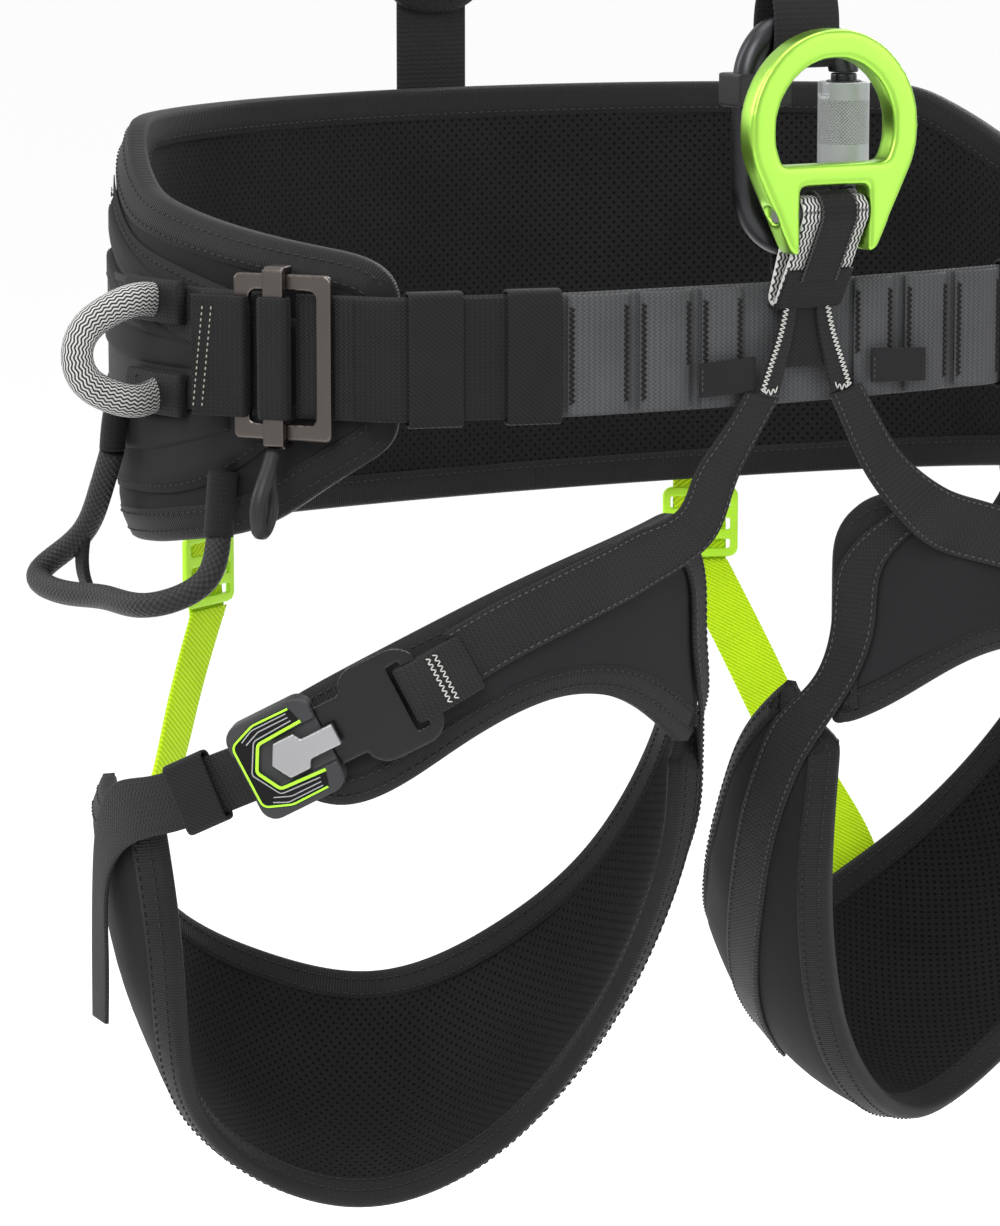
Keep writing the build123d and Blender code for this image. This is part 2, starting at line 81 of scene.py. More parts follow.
def spline(points, count):
    """Natural cubic through the points, sampled evenly along its length."""
    p = np.asarray(points, float)
    s = arc(p)
    n = len(p)
    h = np.diff(s)
    a = np.zeros((n, n))
    r = np.zeros((n, p.shape[1]))
    a[0, 0] = a[-1, -1] = 1
    for i in range(1, n - 1):
        a[i, i - 1], a[i, i], a[i, i + 1] = h[i - 1], 2 * (h[i - 1] + h[i]), h[i]
        r[i] = 6 * ((p[i + 1] - p[i]) / h[i] - (p[i] - p[i - 1]) / h[i - 1])
    m = np.linalg.solve(a, r)
    t = np.linspace(s[0], s[-1], max(count * 6, 60))
    k = np.clip(np.searchsorted(s, t, side="right") - 1, 0, n - 2)
    d, g = (t - s[k])[:, None], h[k][:, None]
    e = g - d
    q = (m[k] * e ** 3 + m[k + 1] * d ** 3) / (6 * g)
    q += (p[k] / g - m[k] * g / 6) * e + (p[k + 1] / g - m[k + 1] * g / 6) * d
    return resample(q, count)


def resample(points, count, closed=False):
    s = arc(points)
    t = np.linspace(0, s[-1], count + 1 if closed else count)
    out = np.stack([np.interp(t, s, points[:, k]) for k in range(points.shape[1])], 1)
    return out[:-1] if closed else out


def rounded(points, radii, step=2.0, closed=False):
    """Polyline with each corner replaced by an arc of the given radius."""
    p = [np.asarray(q, float) for q in points]
    n = len(p)
    out = [] if closed else [p[0]]
    corners = range(n) if closed else range(1, n - 1)
    for i, k in enumerate(corners):
        a, b, c = p[k - 1], p[k], p[(k + 1) % n]
        u, v = unit(a - b), unit(c - b)
        half = np.arccos(np.clip(u @ v, -1, 1)) / 2
        reach = min(radii[i] / tan(half), 0.49 * np.linalg.norm(a - b), 0.49 * np.linalg.norm(c - b))
        q0, q1 = b + u * reach, b + v * reach
        for t in np.linspace(0, 1, 9):
            out.append((1 - t) ** 2 * q0 + 2 * t * (1 - t) * b + t * t * q1)
    if closed:
        out.append(out[0])
    else:
        out.append(p[-1])
    out = np.array(out)
    count = max(int(arc(out)[-1] / step), 8)
    return resample(out, count, closed)


def flip(points, side):
    """Mirror right-hand points for the left side."""
    p = np.array(points, float)
    p[..., 0] *= side
    return p


def leg_place(points):
    """From a leg loop's own frame to the right side of the saddle."""
    p = np.array(points, float)
    t = radians(LEG_TURN)
    x, y = p[..., 0].copy(), p[..., 1].copy()
    p[..., 0] = LEG_X + x * cos(t) + y * sin(t)
    p[..., 1] = LEG_Y - x * sin(t) + y * cos(t)
    return p


# ---- mesh building ------------------------------------------------------
def build(name, verts, faces, uvs=None, smooth=True):
    """A mesh object from millimetre points; uvs is one (u, v) in mm per vertex."""
    mesh = bpy.data.meshes.new(name)
    mesh.from_pydata((np.asarray(verts, float) * MM).tolist(), [], [tuple(map(int, f)) for f in faces])
    if uvs is not None:
        layer = mesh.uv_layers.new(name="flow")
        loops = np.zeros(len(mesh.loops), np.int32)
        mesh.loops.foreach_get("vertex_index", loops)
        layer.data.foreach_set("uv", np.asarray(uvs, np.float32)[loops].ravel())
    if smooth:
        mesh.polygons.foreach_set("use_smooth", [True] * len(mesh.polygons))
    obj = bpy.data.objects.new(name, mesh)
    bpy.context.scene.collection.objects.link(obj)
    return obj


def outward(obj):
    """Make the faces of a closed mesh point out."""
    bm = bmesh.new()
    bm.from_mesh(obj.data)
    bmesh.ops.recalc_face_normals(bm, faces=bm.faces)
    bm.to_mesh(obj.data)
    bm.free()
    return obj


def own(obj, body, look, slot, *nodes):
    """Give a piece its material and its body, and hide the nodes it stands for; slot is not used."""
    obj.data.materials.clear()
    obj.data.materials.append(look)
    if body:
        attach(obj, body)
    if nodes:
        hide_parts(*nodes)
    return obj


def rings(name, sections, uvs, closed=False, smooth=True):
    """Skin a list of equal point loops."""
    sections = np.asarray(sections, float)
    n, m = sections.shape[:2]
    faces = []
    last = n if closed else n - 1
    for i in range(last):
        j = (i + 1) % n
        for k in range(m):
            l = (k + 1) % m
            faces.append((i * m + k, i * m + l, j * m + l, j * m + k))
    if not closed:
        faces.append(tuple(range(m))[::-1])
        faces.append(tuple((n - 1) * m + k for k in range(m)))
    obj = build(name, sections.reshape(-1, 3), faces, np.asarray(uvs).reshape(-1, 2), smooth)
    return outward(obj)


def frames_along(path, up=None):
    """Side and normal at each point of a path."""
    t = unit(np.gradient(path, axis=0))
    if up is None:
        side = np.cross(t[0], (0, 0, 1))
        if np.linalg.norm(side) < 0.1:
            side = np.cross(t[0], (0, 1, 0))
        normal = [unit(np.cross(side, t[0]))]
        for i in range(1, len(path)):
            normal.append(unit(normal[-1] - t[i] * (normal[-1] @ t[i])))
        normal = np.array(normal)
    else:
        up = np.broadcast_to(np.asarray(up, float), path.shape)
        normal = unit(up - t * np.sum(up * t, 1)[:, None])
    return np.cross(t, normal), normal


def tube(name, path, radius, sides, flat=1.0, up=None):
    """Round or oval bar along a path."""
    side, normal = frames_along(path, up)
    around = np.linspace(0, 2 * pi, sides, endpoint=False)
    loops = [[p + (a * cos(w) + b * sin(w) * flat) * radius for w in around]
             for p, a, b in zip(path, side, normal)]
    return rings(name, loops, [[(s, w * radius) for w in around] for s in arc(path)])


BAND = ((-1, 0.2), (-0.97, 0.8), (-0.9, 1), (-0.45, 1), (0, 1), (0.45, 1), (0.9, 1), (0.97, 0.8), (1, 0.2))


def ribbon(name, left, right, thickness, closed=False, crown=0.0):
    """Webbing between two edge lines, thickness to both sides of them."""
    left, right = np.asarray(left, float), np.asarray(right, float)
    mid = (left + right) / 2
    across = (right - left) / 2
    width = float(np.mean(np.linalg.norm(across, axis=1))) * 2
    if closed:
        t = unit(np.roll(mid, -1, 0) - np.roll(mid, 1, 0))
    else:
        t = unit(np.gradient(mid, axis=0))
    normal = unit(np.cross(t, across))
    s = arc(mid)
    loops, uvs = [], []
    for i in range(len(mid)):
        loop, uv = [], []
        for sign in (1, -1):
            for x, h in BAND[::sign]:
                bow = crown * (1 - x * x)
                loop.append(mid[i] + across[i] * x + normal[i] * (sign * h * thickness / 2 + bow))
                uv.append((s[i], x * width / 2))
        loops.append(loop)
        uvs.append(uv)
    return rings(name, loops, uvs, closed)


def edge_falloff(distance, slope):
    """Share of the full thickness at a distance from the edge; slope is (share at the edge, reach)."""
    low, reach = slope
    return low + (1 - low) * np.sin(np.clip(distance / reach, 0, 1) * pi / 2)


def surface_normals(grid, out_hint):
    du = np.gradient(grid, axis=0)
    dv = np.gradient(grid, axis=1)
    n = unit(np.cross(du, dv))
    if np.mean(np.sum(n * out_hint, axis=-1)) < 0:
        n = -n
    return n


def grid_distances(grid):
    """Distance of each grid point from the grid's nearest edge, and its flow."""
    nu, nv = grid.shape[:2]
    along = np.zeros((nu, nv))
    along[1:] = np.cumsum(np.linalg.norm(np.diff(grid, axis=0), axis=2), axis=0)
    across = np.zeros((nu, nv))
    across[:, 1:] = np.cumsum(np.linalg.norm(np.diff(grid, axis=1), axis=2), axis=1)
    far_u = along[-1] - along
    far_v = across[:, -1:] - across
    near = np.minimum(np.minimum(along, far_u), np.minimum(across, far_v))
    mid = along[:, nv // 2][:, None]
    return near, np.stack([np.broadcast_to(mid, near.shape), across - across[:, -1:] / 2], -1)


def rim_ids(nu, nv):
    """Grid indices round the edge, in order."""
    ids = [(i, 0) for i in range(nu)] + [(nu - 1, j) for j in range(1, nv)]
    return ids + [(i, nv - 1) for i in range(nu - 2, -1, -1)] + [(0, j) for j in range(nv - 2, 0, -1)]


WRINKLE_SCALE = 0.022


def panel(name, grid, normal, out, back, slope, wrinkle, seed):
    """Closed panel on the outside or, with out 0, on the back of a grid, thinner towards its edge."""
    near, flow = grid_distances(grid)
    thick = edge_falloff(near, slope)
    nu, nv = near.shape
    rough = np.zeros((nu, nv))
    for i in range(nu):
        for j in range(nv):
            q = Vector(grid[i, j] * WRINKLE_SCALE) + Vector((seed, seed, 0))
            rough[i, j] = noise.noise(q) + 0.5 * noise.noise(q * 2.3)
    lift = rough * wrinkle * np.clip(near / slope[1], 0, 1)
    outer = grid + normal * (out * thick + (lift if out else 0))[..., None]
    inner = grid - normal * (back * thick - (0 if out else lift))[..., None]
    verts = np.concatenate([outer.reshape(-1, 3), inner.reshape(-1, 3)])
    uvs = np.concatenate([flow.reshape(-1, 2)] * 2)
    faces = []
    base = nu * nv
    for i in range(nu - 1):
        for j in range(nv - 1):
            a, b, c, d = i * nv + j, (i + 1) * nv + j, (i + 1) * nv + j + 1, i * nv + j + 1
            faces.append((a, b, c, d))
            faces.append((base + d, base + c, base + b, base + a))
    rim = [i * nv + j for i, j in rim_ids(nu, nv)]
    for a, b in zip(rim, rim[1:] + rim[:1]):
        faces.append((b, a, base + a, base + b))
    return outward(build(name, verts, faces, uvs))


def rim_of(grid, normal):
    """Closed edge line of a grid with inward directions and normals, evenly spaced."""
    nu, nv = grid.shape[:2]
    ids = rim_ids(nu, nv)
    p, n = (np.array([field[i, j] for i, j in ids + ids[:1]]) for field in (grid, normal))
    p, n = resample_with(p, n, int(arc(p)[-1] / 2.5))
    for _ in range(3):
        p = (np.roll(p, 1, 0) + p * 2 + np.roll(p, -1, 0)) / 4
        n = unit((np.roll(n, 1, 0) + n * 2 + np.roll(n, -1, 0)) / 4)
    t = unit(np.roll(p, -1, 0) - np.roll(p, 1, 0))
    d = unit(np.cross(n, t))
    k = int(np.argmin(np.linalg.norm(p - grid[nu // 2, 0], axis=1)))
    if d[k] @ (grid[nu // 2, nv // 2] - p[k]) < 0:
        d = -d
    return p, d, n


def resample_with(p, n, count):
    """Even points of a closed line, each with its normal."""
    s = arc(p)
    t = np.linspace(0, s[-1], count + 1)[:-1]
    q = np.stack([np.interp(t, s, p[:, k]) for k in range(3)], 1)
    m = unit(np.stack([np.interp(t, s, n[:, k]) for k in range(3)], 1))
    return q, m


def binding(name, rim, out, back, slope, width=BINDING, skin=0.55):
    """Elastic tape folded over a panel's edge."""
    p, d, n = rim
    depths = [width, width - 0.6, width * 0.62, width * 0.3, 2.0, 0.2, -0.7]
    fold = []     # depth from the edge, height above the grid and flow across the tape
    for face, thickness in ((1, out), (-1, back)):
        for k, x in list(enumerate(depths))[::face]:
            lift = 0.05 if k == 0 else skin if x > 0 else -0.9
            fold.append((x, face * max(thickness * edge_falloff(max(x, 0), slope) + lift, 0.1), face * x))
    s = arc(np.vstack([p, p[:1]]))
    loops = [[p[i] + d[i] * x + n[i] * h for x, h, v in fold] for i in range(len(p))]
    uvs = [[(s[i], v) for x, h, v in fold] for i in range(len(p))]
    return rings(name, loops, uvs, closed=True)


STITCH = np.array([(-1, 0, 0), (-0.6, 1, 0), (-0.6, 0, 1), (-0.6, -1, 0), (-0.6, 0, -1),
                   (0.6, 1, 0), (0.6, 0, 1), (0.6, -1, 0), (0.6, 0, -1), (1, 0, 0)], float)
STITCH_FACES = [(0, 2, 1), (0, 3, 2), (0, 4, 3), (0, 1, 4), (1, 2, 6, 5), (2, 3, 7, 6), (3, 4, 8, 7),
                (4, 1, 5, 8), (9, 5, 6), (9, 6, 7), (9, 7, 8), (9, 8, 5)]


def threads(name, runs, radius):
    """Many short stitches as one mesh; each run is (start points, end points, normals)."""
    verts, faces = [], []
    for a, b, n in runs:
        t = unit(b - a)
        half = np.linalg.norm(b - a, axis=1) / 2
        side = unit(np.cross(t, n))
        up = np.cross(side, t)
        mid = (a + b) / 2
        for i in range(len(a)):
            base = len(verts) * 10
            v = (mid[i] + STITCH[:, :1] * t[i] * half[i] + STITCH[:, 1:2] * side[i] * radius
                 + STITCH[:, 2:] * up[i] * radius)
            verts.append(v)
            faces += [tuple(base + k for k in f) for f in STITCH_FACES]
    return build(name, np.concatenate(verts), faces)


def running(path, normal, pitch=3.4, length=2.3, lift=0.15, closed=False):
    """A running stitch along a path."""
    p = np.asarray(path, float)
    n = np.broadcast_to(np.asarray(normal, float), p.shape)
    if closed:
        p, n = np.vstack([p, p[:1]]), np.vstack([n, n[:1]])
    s = arc(p)
    at = np.arange(pitch / 2, s[-1] - pitch / 2, pitch)

    def pick(t, q):
        return np.stack([np.interp(t, s, q[:, k]) for k in range(3)], 1)

    m = unit(pick(at, n))
    return pick(at - length / 2, p) + m * lift, pick(at + length / 2, p) + m * lift, m


def zigzag(path, normal, across, width, pitch, lift=0.2):
    """A bar tack: close zigzag stitches along a path."""
    p = np.asarray(path, float)
    s = arc(p)
    count = max(int(s[-1] / pitch), 3)
    p = resample(p, count)
    n = np.broadcast_to(np.asarray(normal, float), p.shape)
    a = np.broadcast_to(unit(across), p.shape)
    sign = np.where(np.arange(count) % 2 == 0, 1.0, -1.0)[:, None]
    q = p + a * sign * width / 2 + n * lift
    return q[:-1], q[1:], n[:-1]


def rim_stitches(rim, depth, thickness, slope, face=1):
    """Running stitches round a panel, at a depth from its edge."""
    p, d, n = rim
    height = thickness * edge_falloff(depth, slope) + 0.6
    return running(p + d * depth + n * face * height, n * face, closed=True)


# ---- materials ----------------------------------------------------------
class Look:
    """A procedural material built from small node helpers."""

    def __init__(self, name, color, roughness=0.6, metallic=0.0, sheen=0.0, coat=0.0, specular=0.5):
        self.mat = bpy.data.materials.new(name)
        self.mat.use_nodes = True
        self.tree = self.mat.node_tree
        self.shader = self.tree.nodes["Principled BSDF"]
        self.color = color
        sockets = self.shader.inputs
        sockets["Base Color"].default_value = (*color, 1)
        sockets["Roughness"].default_value = roughness
        sockets["Metallic"].default_value = metallic
        sockets["Specular IOR Level"].default_value = specular
        if sheen:
            sockets["Sheen Weight"].default_value = sheen
            sockets["Sheen Roughness"].default_value = 0.5
        if coat:
            sockets["Coat Weight"].default_value = coat
            sockets["Coat Roughness"].default_value = 0.25
        self.mat.diffuse_color = (*color, 1)

    def link(self, source, target):
        self.tree.links.new(source, target)

    def put(self, value, socket):
        if isinstance(value, bpy.types.NodeSocket):
            self.link(value, socket)
        else:
            socket.default_value = value

    def math(self, op, a, b=0.0, c=None, clamp=False):
        node = self.tree.nodes.new("ShaderNodeMath")
        node.operation = op
        node.use_clamp = clamp
        self.put(a, node.inputs[0])
        self.put(b, node.inputs[1])
        if c is not None:
            self.put(c, node.inputs[2])
        return node.outputs[0]

    def flow(self):
        """The piece's own u and v, in millimetres."""
        uv = self.tree.nodes.new("ShaderNodeUVMap")
        uv.uv_map = "flow"
        split = self.tree.nodes.new("ShaderNodeSeparateXYZ")
        self.link(uv.outputs[0], split.inputs[0])
        return split.outputs[0], split.outputs[1]

    def place(self):
        """Object coordinates, in metres."""
        return self.tree.nodes.new("ShaderNodeTexCoord").outputs["Object"]

    def wave(self, value, pitch, phase=0.0):
        """0 to 1 sine of the value."""
        turned = self.math("MULTIPLY_ADD", value, 2 * pi / pitch, phase)
        return self.math("MULTIPLY_ADD", self.math("SINE", turned), 0.5, 0.5)

    def noise(self, scale, detail=2.0, vector=None):
        node = self.tree.nodes.new("ShaderNodeTexNoise")
        node.inputs["Scale"].default_value = scale
        node.inputs["Detail"].default_value = detail
        self.link(vector if vector is not None else self.place(), node.inputs["Vector"])
        return node.outputs[0]

    def tint(self, factor, dark, light):
        """Base colour between two colours."""
        mix = self.tree.nodes.new("ShaderNodeMix")
        mix.data_type = "RGBA"
        self.put(factor, mix.inputs[0])
        mix.inputs[6].default_value = (*dark, 1)
        mix.inputs[7].default_value = (*light, 1)
        self.link(mix.outputs[2], self.shader.inputs["Base Color"])

    def relief(self, height, distance):
        """Bump of the given height in millimetres."""
        bump = self.tree.nodes.new("ShaderNodeBump")
        bump.inputs["Strength"].default_value = 1.0
        bump.inputs["Distance"].default_value = distance * MM
        self.link(height, bump.inputs["Height"])
        self.link(bump.outputs[0], self.shader.inputs["Normal"])

    def gloss(self, factor, low, high):
        self.link(self.math("MULTIPLY_ADD", factor, high - low, low), self.shader.inputs["Roughness"])


def scaled(color, k):
    return tuple(min(1.0, c * k) for c in color)


def ribbed(name, color, pitch=1.9):
    """Plain-woven webbing: ribs across its width, broken by the warp."""
    look = Look(name, color, 0.55, sheen=0.03, specular=0.09)
    u, v = look.flow()
    warp = look.wave(v, 1.5)
    shifted = look.math("MULTIPLY_ADD", warp, pitch * 0.5, u)
    rib = look.wave(shifted, pitch)
    height = look.math("MULTIPLY_ADD", warp, 0.35, rib)
    patch = look.noise(38, 3)
    # painted shade and highlight: the colour follows the rib height, lighter on the crests and darker in the
    # grooves, on top of a random patchy tone
    shade = look.math("MULTIPLY_ADD", patch, 0.7, look.math("MULTIPLY", rib, 0.55))
    look.tint(look.math("MULTIPLY", shade, 0.9, clamp=True), scaled(color, 0.5), scaled(color, 1.5))
    look.relief(height, 0.16)
    look.gloss(patch, 0.47, 0.67)
    return look.mat


def twill(name, color, pitch, depth=0.14, low=0.55, high=1.35):
    """Elastic band with diagonal ribs."""
    look = Look(name, color, 0.6, sheen=0.03, specular=0.10)
    u, v = look.flow()
    slant = look.math("MULTIPLY_ADD", v, 0.8, u)
    rib = look.wave(slant, pitch)
    cross = look.wave(v, 0.9)
    height = look.math("MULTIPLY_ADD", cross, 0.25, rib)
    patch = look.noise(45, 2)
    # painted shade and highlight: the colour follows the diagonal ribs, darker in their grooves and lighter on
    # their crests, mixed with a random patchy tone
    shade = look.math("MULTIPLY_ADD", patch, 0.35, look.math("MULTIPLY", rib, 0.65), clamp=True)
    look.tint(shade, scaled(color, low), scaled(color, high))
    look.relief(height, depth)
    return look.mat


def mesh_cloth(name, color):
    """Spacer mesh with small holes on a diagonal grid."""
    look = Look(name, color, 0.8, sheen=0.02, specular=0.06)
    u, v = look.flow()
    holes = 0.7071 / 3.3 * 1.15     # per millimetre along each diagonal
    a = look.math("MULTIPLY", look.math("ADD", u, v), holes)
    b = look.math("MULTIPLY", look.math("SUBTRACT", u, v), holes)
    x = look.math("SUBTRACT", look.math("FRACT", a), 0.5)
    y = look.math("SUBTRACT", look.math("FRACT", b), 0.5)
    d = look.math("SQRT", look.math("ADD", look.math("MULTIPLY", x, x), look.math("MULTIPLY", y, y)))
    rim = look.math("SUBTRACT", d, 0.16)
    solid = look.math("MULTIPLY", rim, 12.0, clamp=True)
    patch = look.noise(24, 3)
    # painted shade: the holes, where solid is 0, are painted near black for the shade inside them; the patch noise
    # is a random tone
    shade = look.math("MULTIPLY", solid, look.math("MULTIPLY_ADD", patch, 0.6, 0.55), clamp=True)
    look.tint(shade, scaled(color, 0.12), scaled(color, 1.25))
    fine = look.wave(look.math("MULTIPLY_ADD", v, 1.0, u), 0.9)
    look.relief(look.math("MULTIPLY_ADD", fine, 0.12, solid), 0.35)
    return look.mat


def cloth(name, color, roughness=0.72, grain=900, depth=0.06):
    """Smooth stretch cover cloth with a fine grain and slow shading."""
    look = Look(name, color, roughness, sheen=0.02, specular=0.08)
    patch = look.noise(30, 4)
    fine = look.noise(grain * 1.7, 2)
    shade = look.math("MULTIPLY_ADD", fine, 0.35, look.math("MULTIPLY", patch, 0.65), clamp=True)
    look.tint(shade, scaled(color, 0.7), scaled(color, 1.35))
    look.relief(fine, depth)
    look.gloss(patch, roughness - 0.1, roughness + 0.08)
    return look.mat


def tape(name, color):
    """Edge binding: fine ribs across the tape and a soft sheen."""
    look = Look(name, color, 0.55, sheen=0.03, specular=0.10)
    rib = look.wave(look.flow()[0], 1.15)
    patch = look.noise(40, 3)
    # painted shade and highlight: the colour follows the ribs, darker between them and lighter on them, mixed with
    # a random patchy tone
    shade = look.math("MULTIPLY_ADD", patch, 0.6, look.math("MULTIPLY", rib, 0.45), clamp=True)
    look.tint(shade, scaled(color, 0.6), scaled(color, 1.45))
    look.relief(rib, 0.14)
    return look.mat


def wavy(name, dark, light, core=None, pitch=1.5):
    """Tubular webbing with light wavy threads; core is the half width of a dark middle stripe."""
    look = Look(name, light, 0.6, sheen=0.03, specular=0.09)
    u, v = look.flow()
    bend = look.math("MULTIPLY", look.math("SINE", look.math("MULTIPLY", u, 2 * pi / 3.2)), 0.34)
    moved = look.math("ADD", v, bend)
    line = look.wave(moved, pitch)
    edge = look.math("MULTIPLY", look.math("SUBTRACT", line, 0.42), 5.0, clamp=True)
    if core is not None:
        away = look.math("SUBTRACT", look.math("ABSOLUTE", v), core)
        edge = look.math("MULTIPLY", edge, look.math("MULTIPLY", away, 4.0, clamp=True))
    patch = look.noise(60, 2)
    edge = look.math("MULTIPLY", edge, look.math("MULTIPLY_ADD", patch, 0.4, 0.8), clamp=True)
    look.tint(edge, dark, light)
    fine = look.wave(u, 1.0)
    look.relief(look.math("MULTIPLY_ADD", fine, 0.4, line), 0.18)
    return look.mat


def braid(name, color):
    """Round braided sheath."""
    look = Look(name, color, 0.5, sheen=0.03, specular=0.15)
    u, v = look.flow()
    one = look.wave(look.math("ADD", u, v), 2.6)
    two = look.wave(look.math("SUBTRACT", u, v), 2.6)
    high = look.math("MAXIMUM", one, two)
    low = look.math("MULTIPLY", one, two)
    # painted shade and highlight: the colour follows the strand height, lighter on the crossing strands and darker
    # between them
    look.tint(look.math("MULTIPLY_ADD", low, 0.6, look.math("MULTIPLY", high, 0.4), clamp=True),
              scaled(color, 0.45), scaled(color, 1.7))
    look.relief(look.math("ADD", high, low), 0.2)
    return look.mat


def metal(name, color, roughness, wear=0.12):
    """Metal with slow patches and a fine grain."""
    look = Look(name, color, roughness, metallic=1.0)
    patch = look.noise(25, 4)
    look.tint(patch, scaled(color, 0.86), scaled(color, 1.15))
    fine = look.noise(1400, 2)
    look.gloss(look.math("MULTIPLY_ADD", fine, 0.4, look.math("MULTIPLY", patch, 0.6)),
               roughness - wear / 2, roughness + wear)
    look.relief(fine, 0.012)
    return look.mat


def knurled(name, color, roughness, z0, z1):
    """Metal sleeve with a diamond-knurled band between two heights."""
    look = Look(name, color, roughness, metallic=0.25, specular=0.35)
    split = look.tree.nodes.new("ShaderNodeSeparateXYZ")
    look.link(look.place(), split.inputs[0])
    x = look.math("SUBTRACT", split.outputs[0], SLEEVE_X * MM)
    y = look.math("SUBTRACT", split.outputs[1], CARABINER_Y * MM)
    around = look.math("MULTIPLY", look.math("ARCTAN2", y, x), SLEEVE_R * MM)
    z = split.outputs[2]
    one = look.wave(look.math("ADD", around, z), 1.3 * MM)
    two = look.wave(look.math("SUBTRACT", around, z), 1.3 * MM)
    inside = look.math("MULTIPLY", look.math("GREATER_THAN", z, z0 * MM), look.math("LESS_THAN", z, z1 * MM))
    knurl = look.math("MULTIPLY", look.math("MULTIPLY", one, two), inside)
    # painted shade: the knurled band is painted darker along the knurl pattern, for the shade in the knurling
    look.tint(look.math("MULTIPLY_ADD", knurl, -0.6, 0.75), scaled(color, 0.5), scaled(color, 1.1))
    look.relief(knurl, 0.4)
    return look.mat


def plastic(name, color, roughness=0.4, grain=0.05, coat=0.0, specular=0.22):
    """Moulded or painted surface with a fine grain."""
    look = Look(name, color, roughness, coat=coat, specular=specular)
    patch = look.noise(35, 3)
    fine = look.noise(1300, 2)
    look.tint(patch, scaled(color, 0.8), scaled(color, 1.25))
    look.gloss(fine, roughness - 0.06, roughness + 0.1)
    look.relief(fine, grain)
    return look.mat


WEBBING = ribbed("webbing_black", (0.012, 0.012, 0.0125))
WEBBING_GREY = ribbed("webbing_grey", (0.045, 0.046, 0.048), pitch=2.1)
WEBBING_DARK = ribbed("webbing_dark", (0.0078, 0.0078, 0.008))
ELASTIC = twill("elastic_black", (0.0085, 0.0085, 0.009), pitch=1.7)
GREEN_ELASTIC = twill("elastic_green", (0.40, 0.62, 0.006), pitch=2.2, depth=0.2, low=0.62, high=1.2)
MESH = mesh_cloth("mesh_lining", (0.0075, 0.0075, 0.0078))
SOFTSHELL = cloth("softshell", (0.0115, 0.0115, 0.0125))
PAD_CLOTH = cloth("pad_cloth", (0.0082, 0.0082, 0.0088), grain=600, depth=0.1)
TAPE = tape("edge_tape", (0.0085, 0.0085, 0.0088))
SLING = wavy("sling_webbing", (0.02, 0.02, 0.02), (0.42, 0.42, 0.41), pitch=1.6)
LATERAL = wavy("lateral_webbing", (0.02, 0.02, 0.02), (0.42, 0.42, 0.41), core=1.3)
CORD = braid("gear_cord", (0.014, 0.014, 0.0145))
THREAD_DARK = cloth("thread_dark", (0.022, 0.022, 0.023), 0.6)
THREAD_LIGHT = cloth("thread_light", (0.42, 0.42, 0.40), 0.6)
THREAD_PALE = cloth("thread_pale", (0.26, 0.25, 0.21), 0.6)
THREAD_GREY = cloth("thread_grey", (0.05, 0.05, 0.05), 0.6)
LIME = metal("lime_anodised", (0.30, 0.56, 0.075), 0.33, wear=0.08)
GUNMETAL = metal("gunmetal", (0.095, 0.083, 0.077), 0.27, wear=0.14)
STEEL = metal("brushed_steel", (0.30, 0.30, 0.31), 0.42, wear=0.15)
DARK_ALLOY = metal("black_anodised", (0.035, 0.035, 0.038), 0.32)
GREY_SLEEVE = knurled("grey_sleeve", (0.33, 0.34, 0.35), 0.45, 68, 84)
BLACK_PLASTIC = plastic("black_plastic", (0.012, 0.012, 0.013))
BUCKLE_GREY = plastic("buckle_grey", (0.026, 0.026, 0.028), 0.45)
BUCKLE_FACE = plastic("buckle_face", (0.004, 0.004, 0.0045), 0.35, 0.02, specular=0.12)
BLACK_PAINT = plastic("black_paint", (0.005, 0.005, 0.0055), 0.2, 0.02, specular=0.3)
GREEN_PLASTIC = plastic("green_plastic", (0.36, 0.66, 0.02), 0.35, 0.03, coat=0.3)
LIME_TRIM = plastic("lime_trim", (0.33, 0.72, 0.03), 0.4, 0.02)
GREY_TRIM = plastic("grey_trim", (0.25, 0.25, 0.26), 0.45, 0.02)


# ---- pieces -------------------------------------------------------------
def web(name, low, high, thickness, look, *nodes, body="saddle", crown=0.0):
    """A length of webbing that rides a body and may stand for CAD nodes."""
    return own(ribbon(name, low, high, thickness, crown=crown), body, look, "webbing", *nodes)


def sew(name, runs, look, radius=0.3, body="saddle", slot="webbing"):
    """Stitches, as one piece."""
    return own(threads(name, runs, radius), body, look, slot)


def cushion(name, grid, normal, thickness, slope, wrinkle, seed, body, look, slot, node):
    """A padded panel."""
    foam = panel(name, grid, normal, thickness, 0.0, slope, wrinkle, seed)
    own(foam, body, look, slot, node)


def softened(name, node, voxel, passes, body, look, slot):
    """A copy of a CAD node whose edges are rounded off."""
    obj = bpy.data.objects.new(name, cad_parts[node].data.copy())
    bpy.context.scene.collection.objects.link(obj)
    remesh = obj.modifiers.new("remesh", "REMESH")
    remesh.mode = "VOXEL"
    remesh.voxel_size = voxel * MM
    smooth = obj.modifiers.new("smooth", "SMOOTH")
    smooth.factor = 0.5
    smooth.iterations = passes
    bpy.context.view_layer.update()
    graph = bpy.context.evaluated_depsgraph_get()
    final = bpy.data.meshes.new_from_object(obj.evaluated_get(graph))
    obj.modifiers.clear()
    obj.data = final
    final.polygons.foreach_set("use_smooth", [True] * len(final.polygons))
    own(obj, body, look, slot, node)


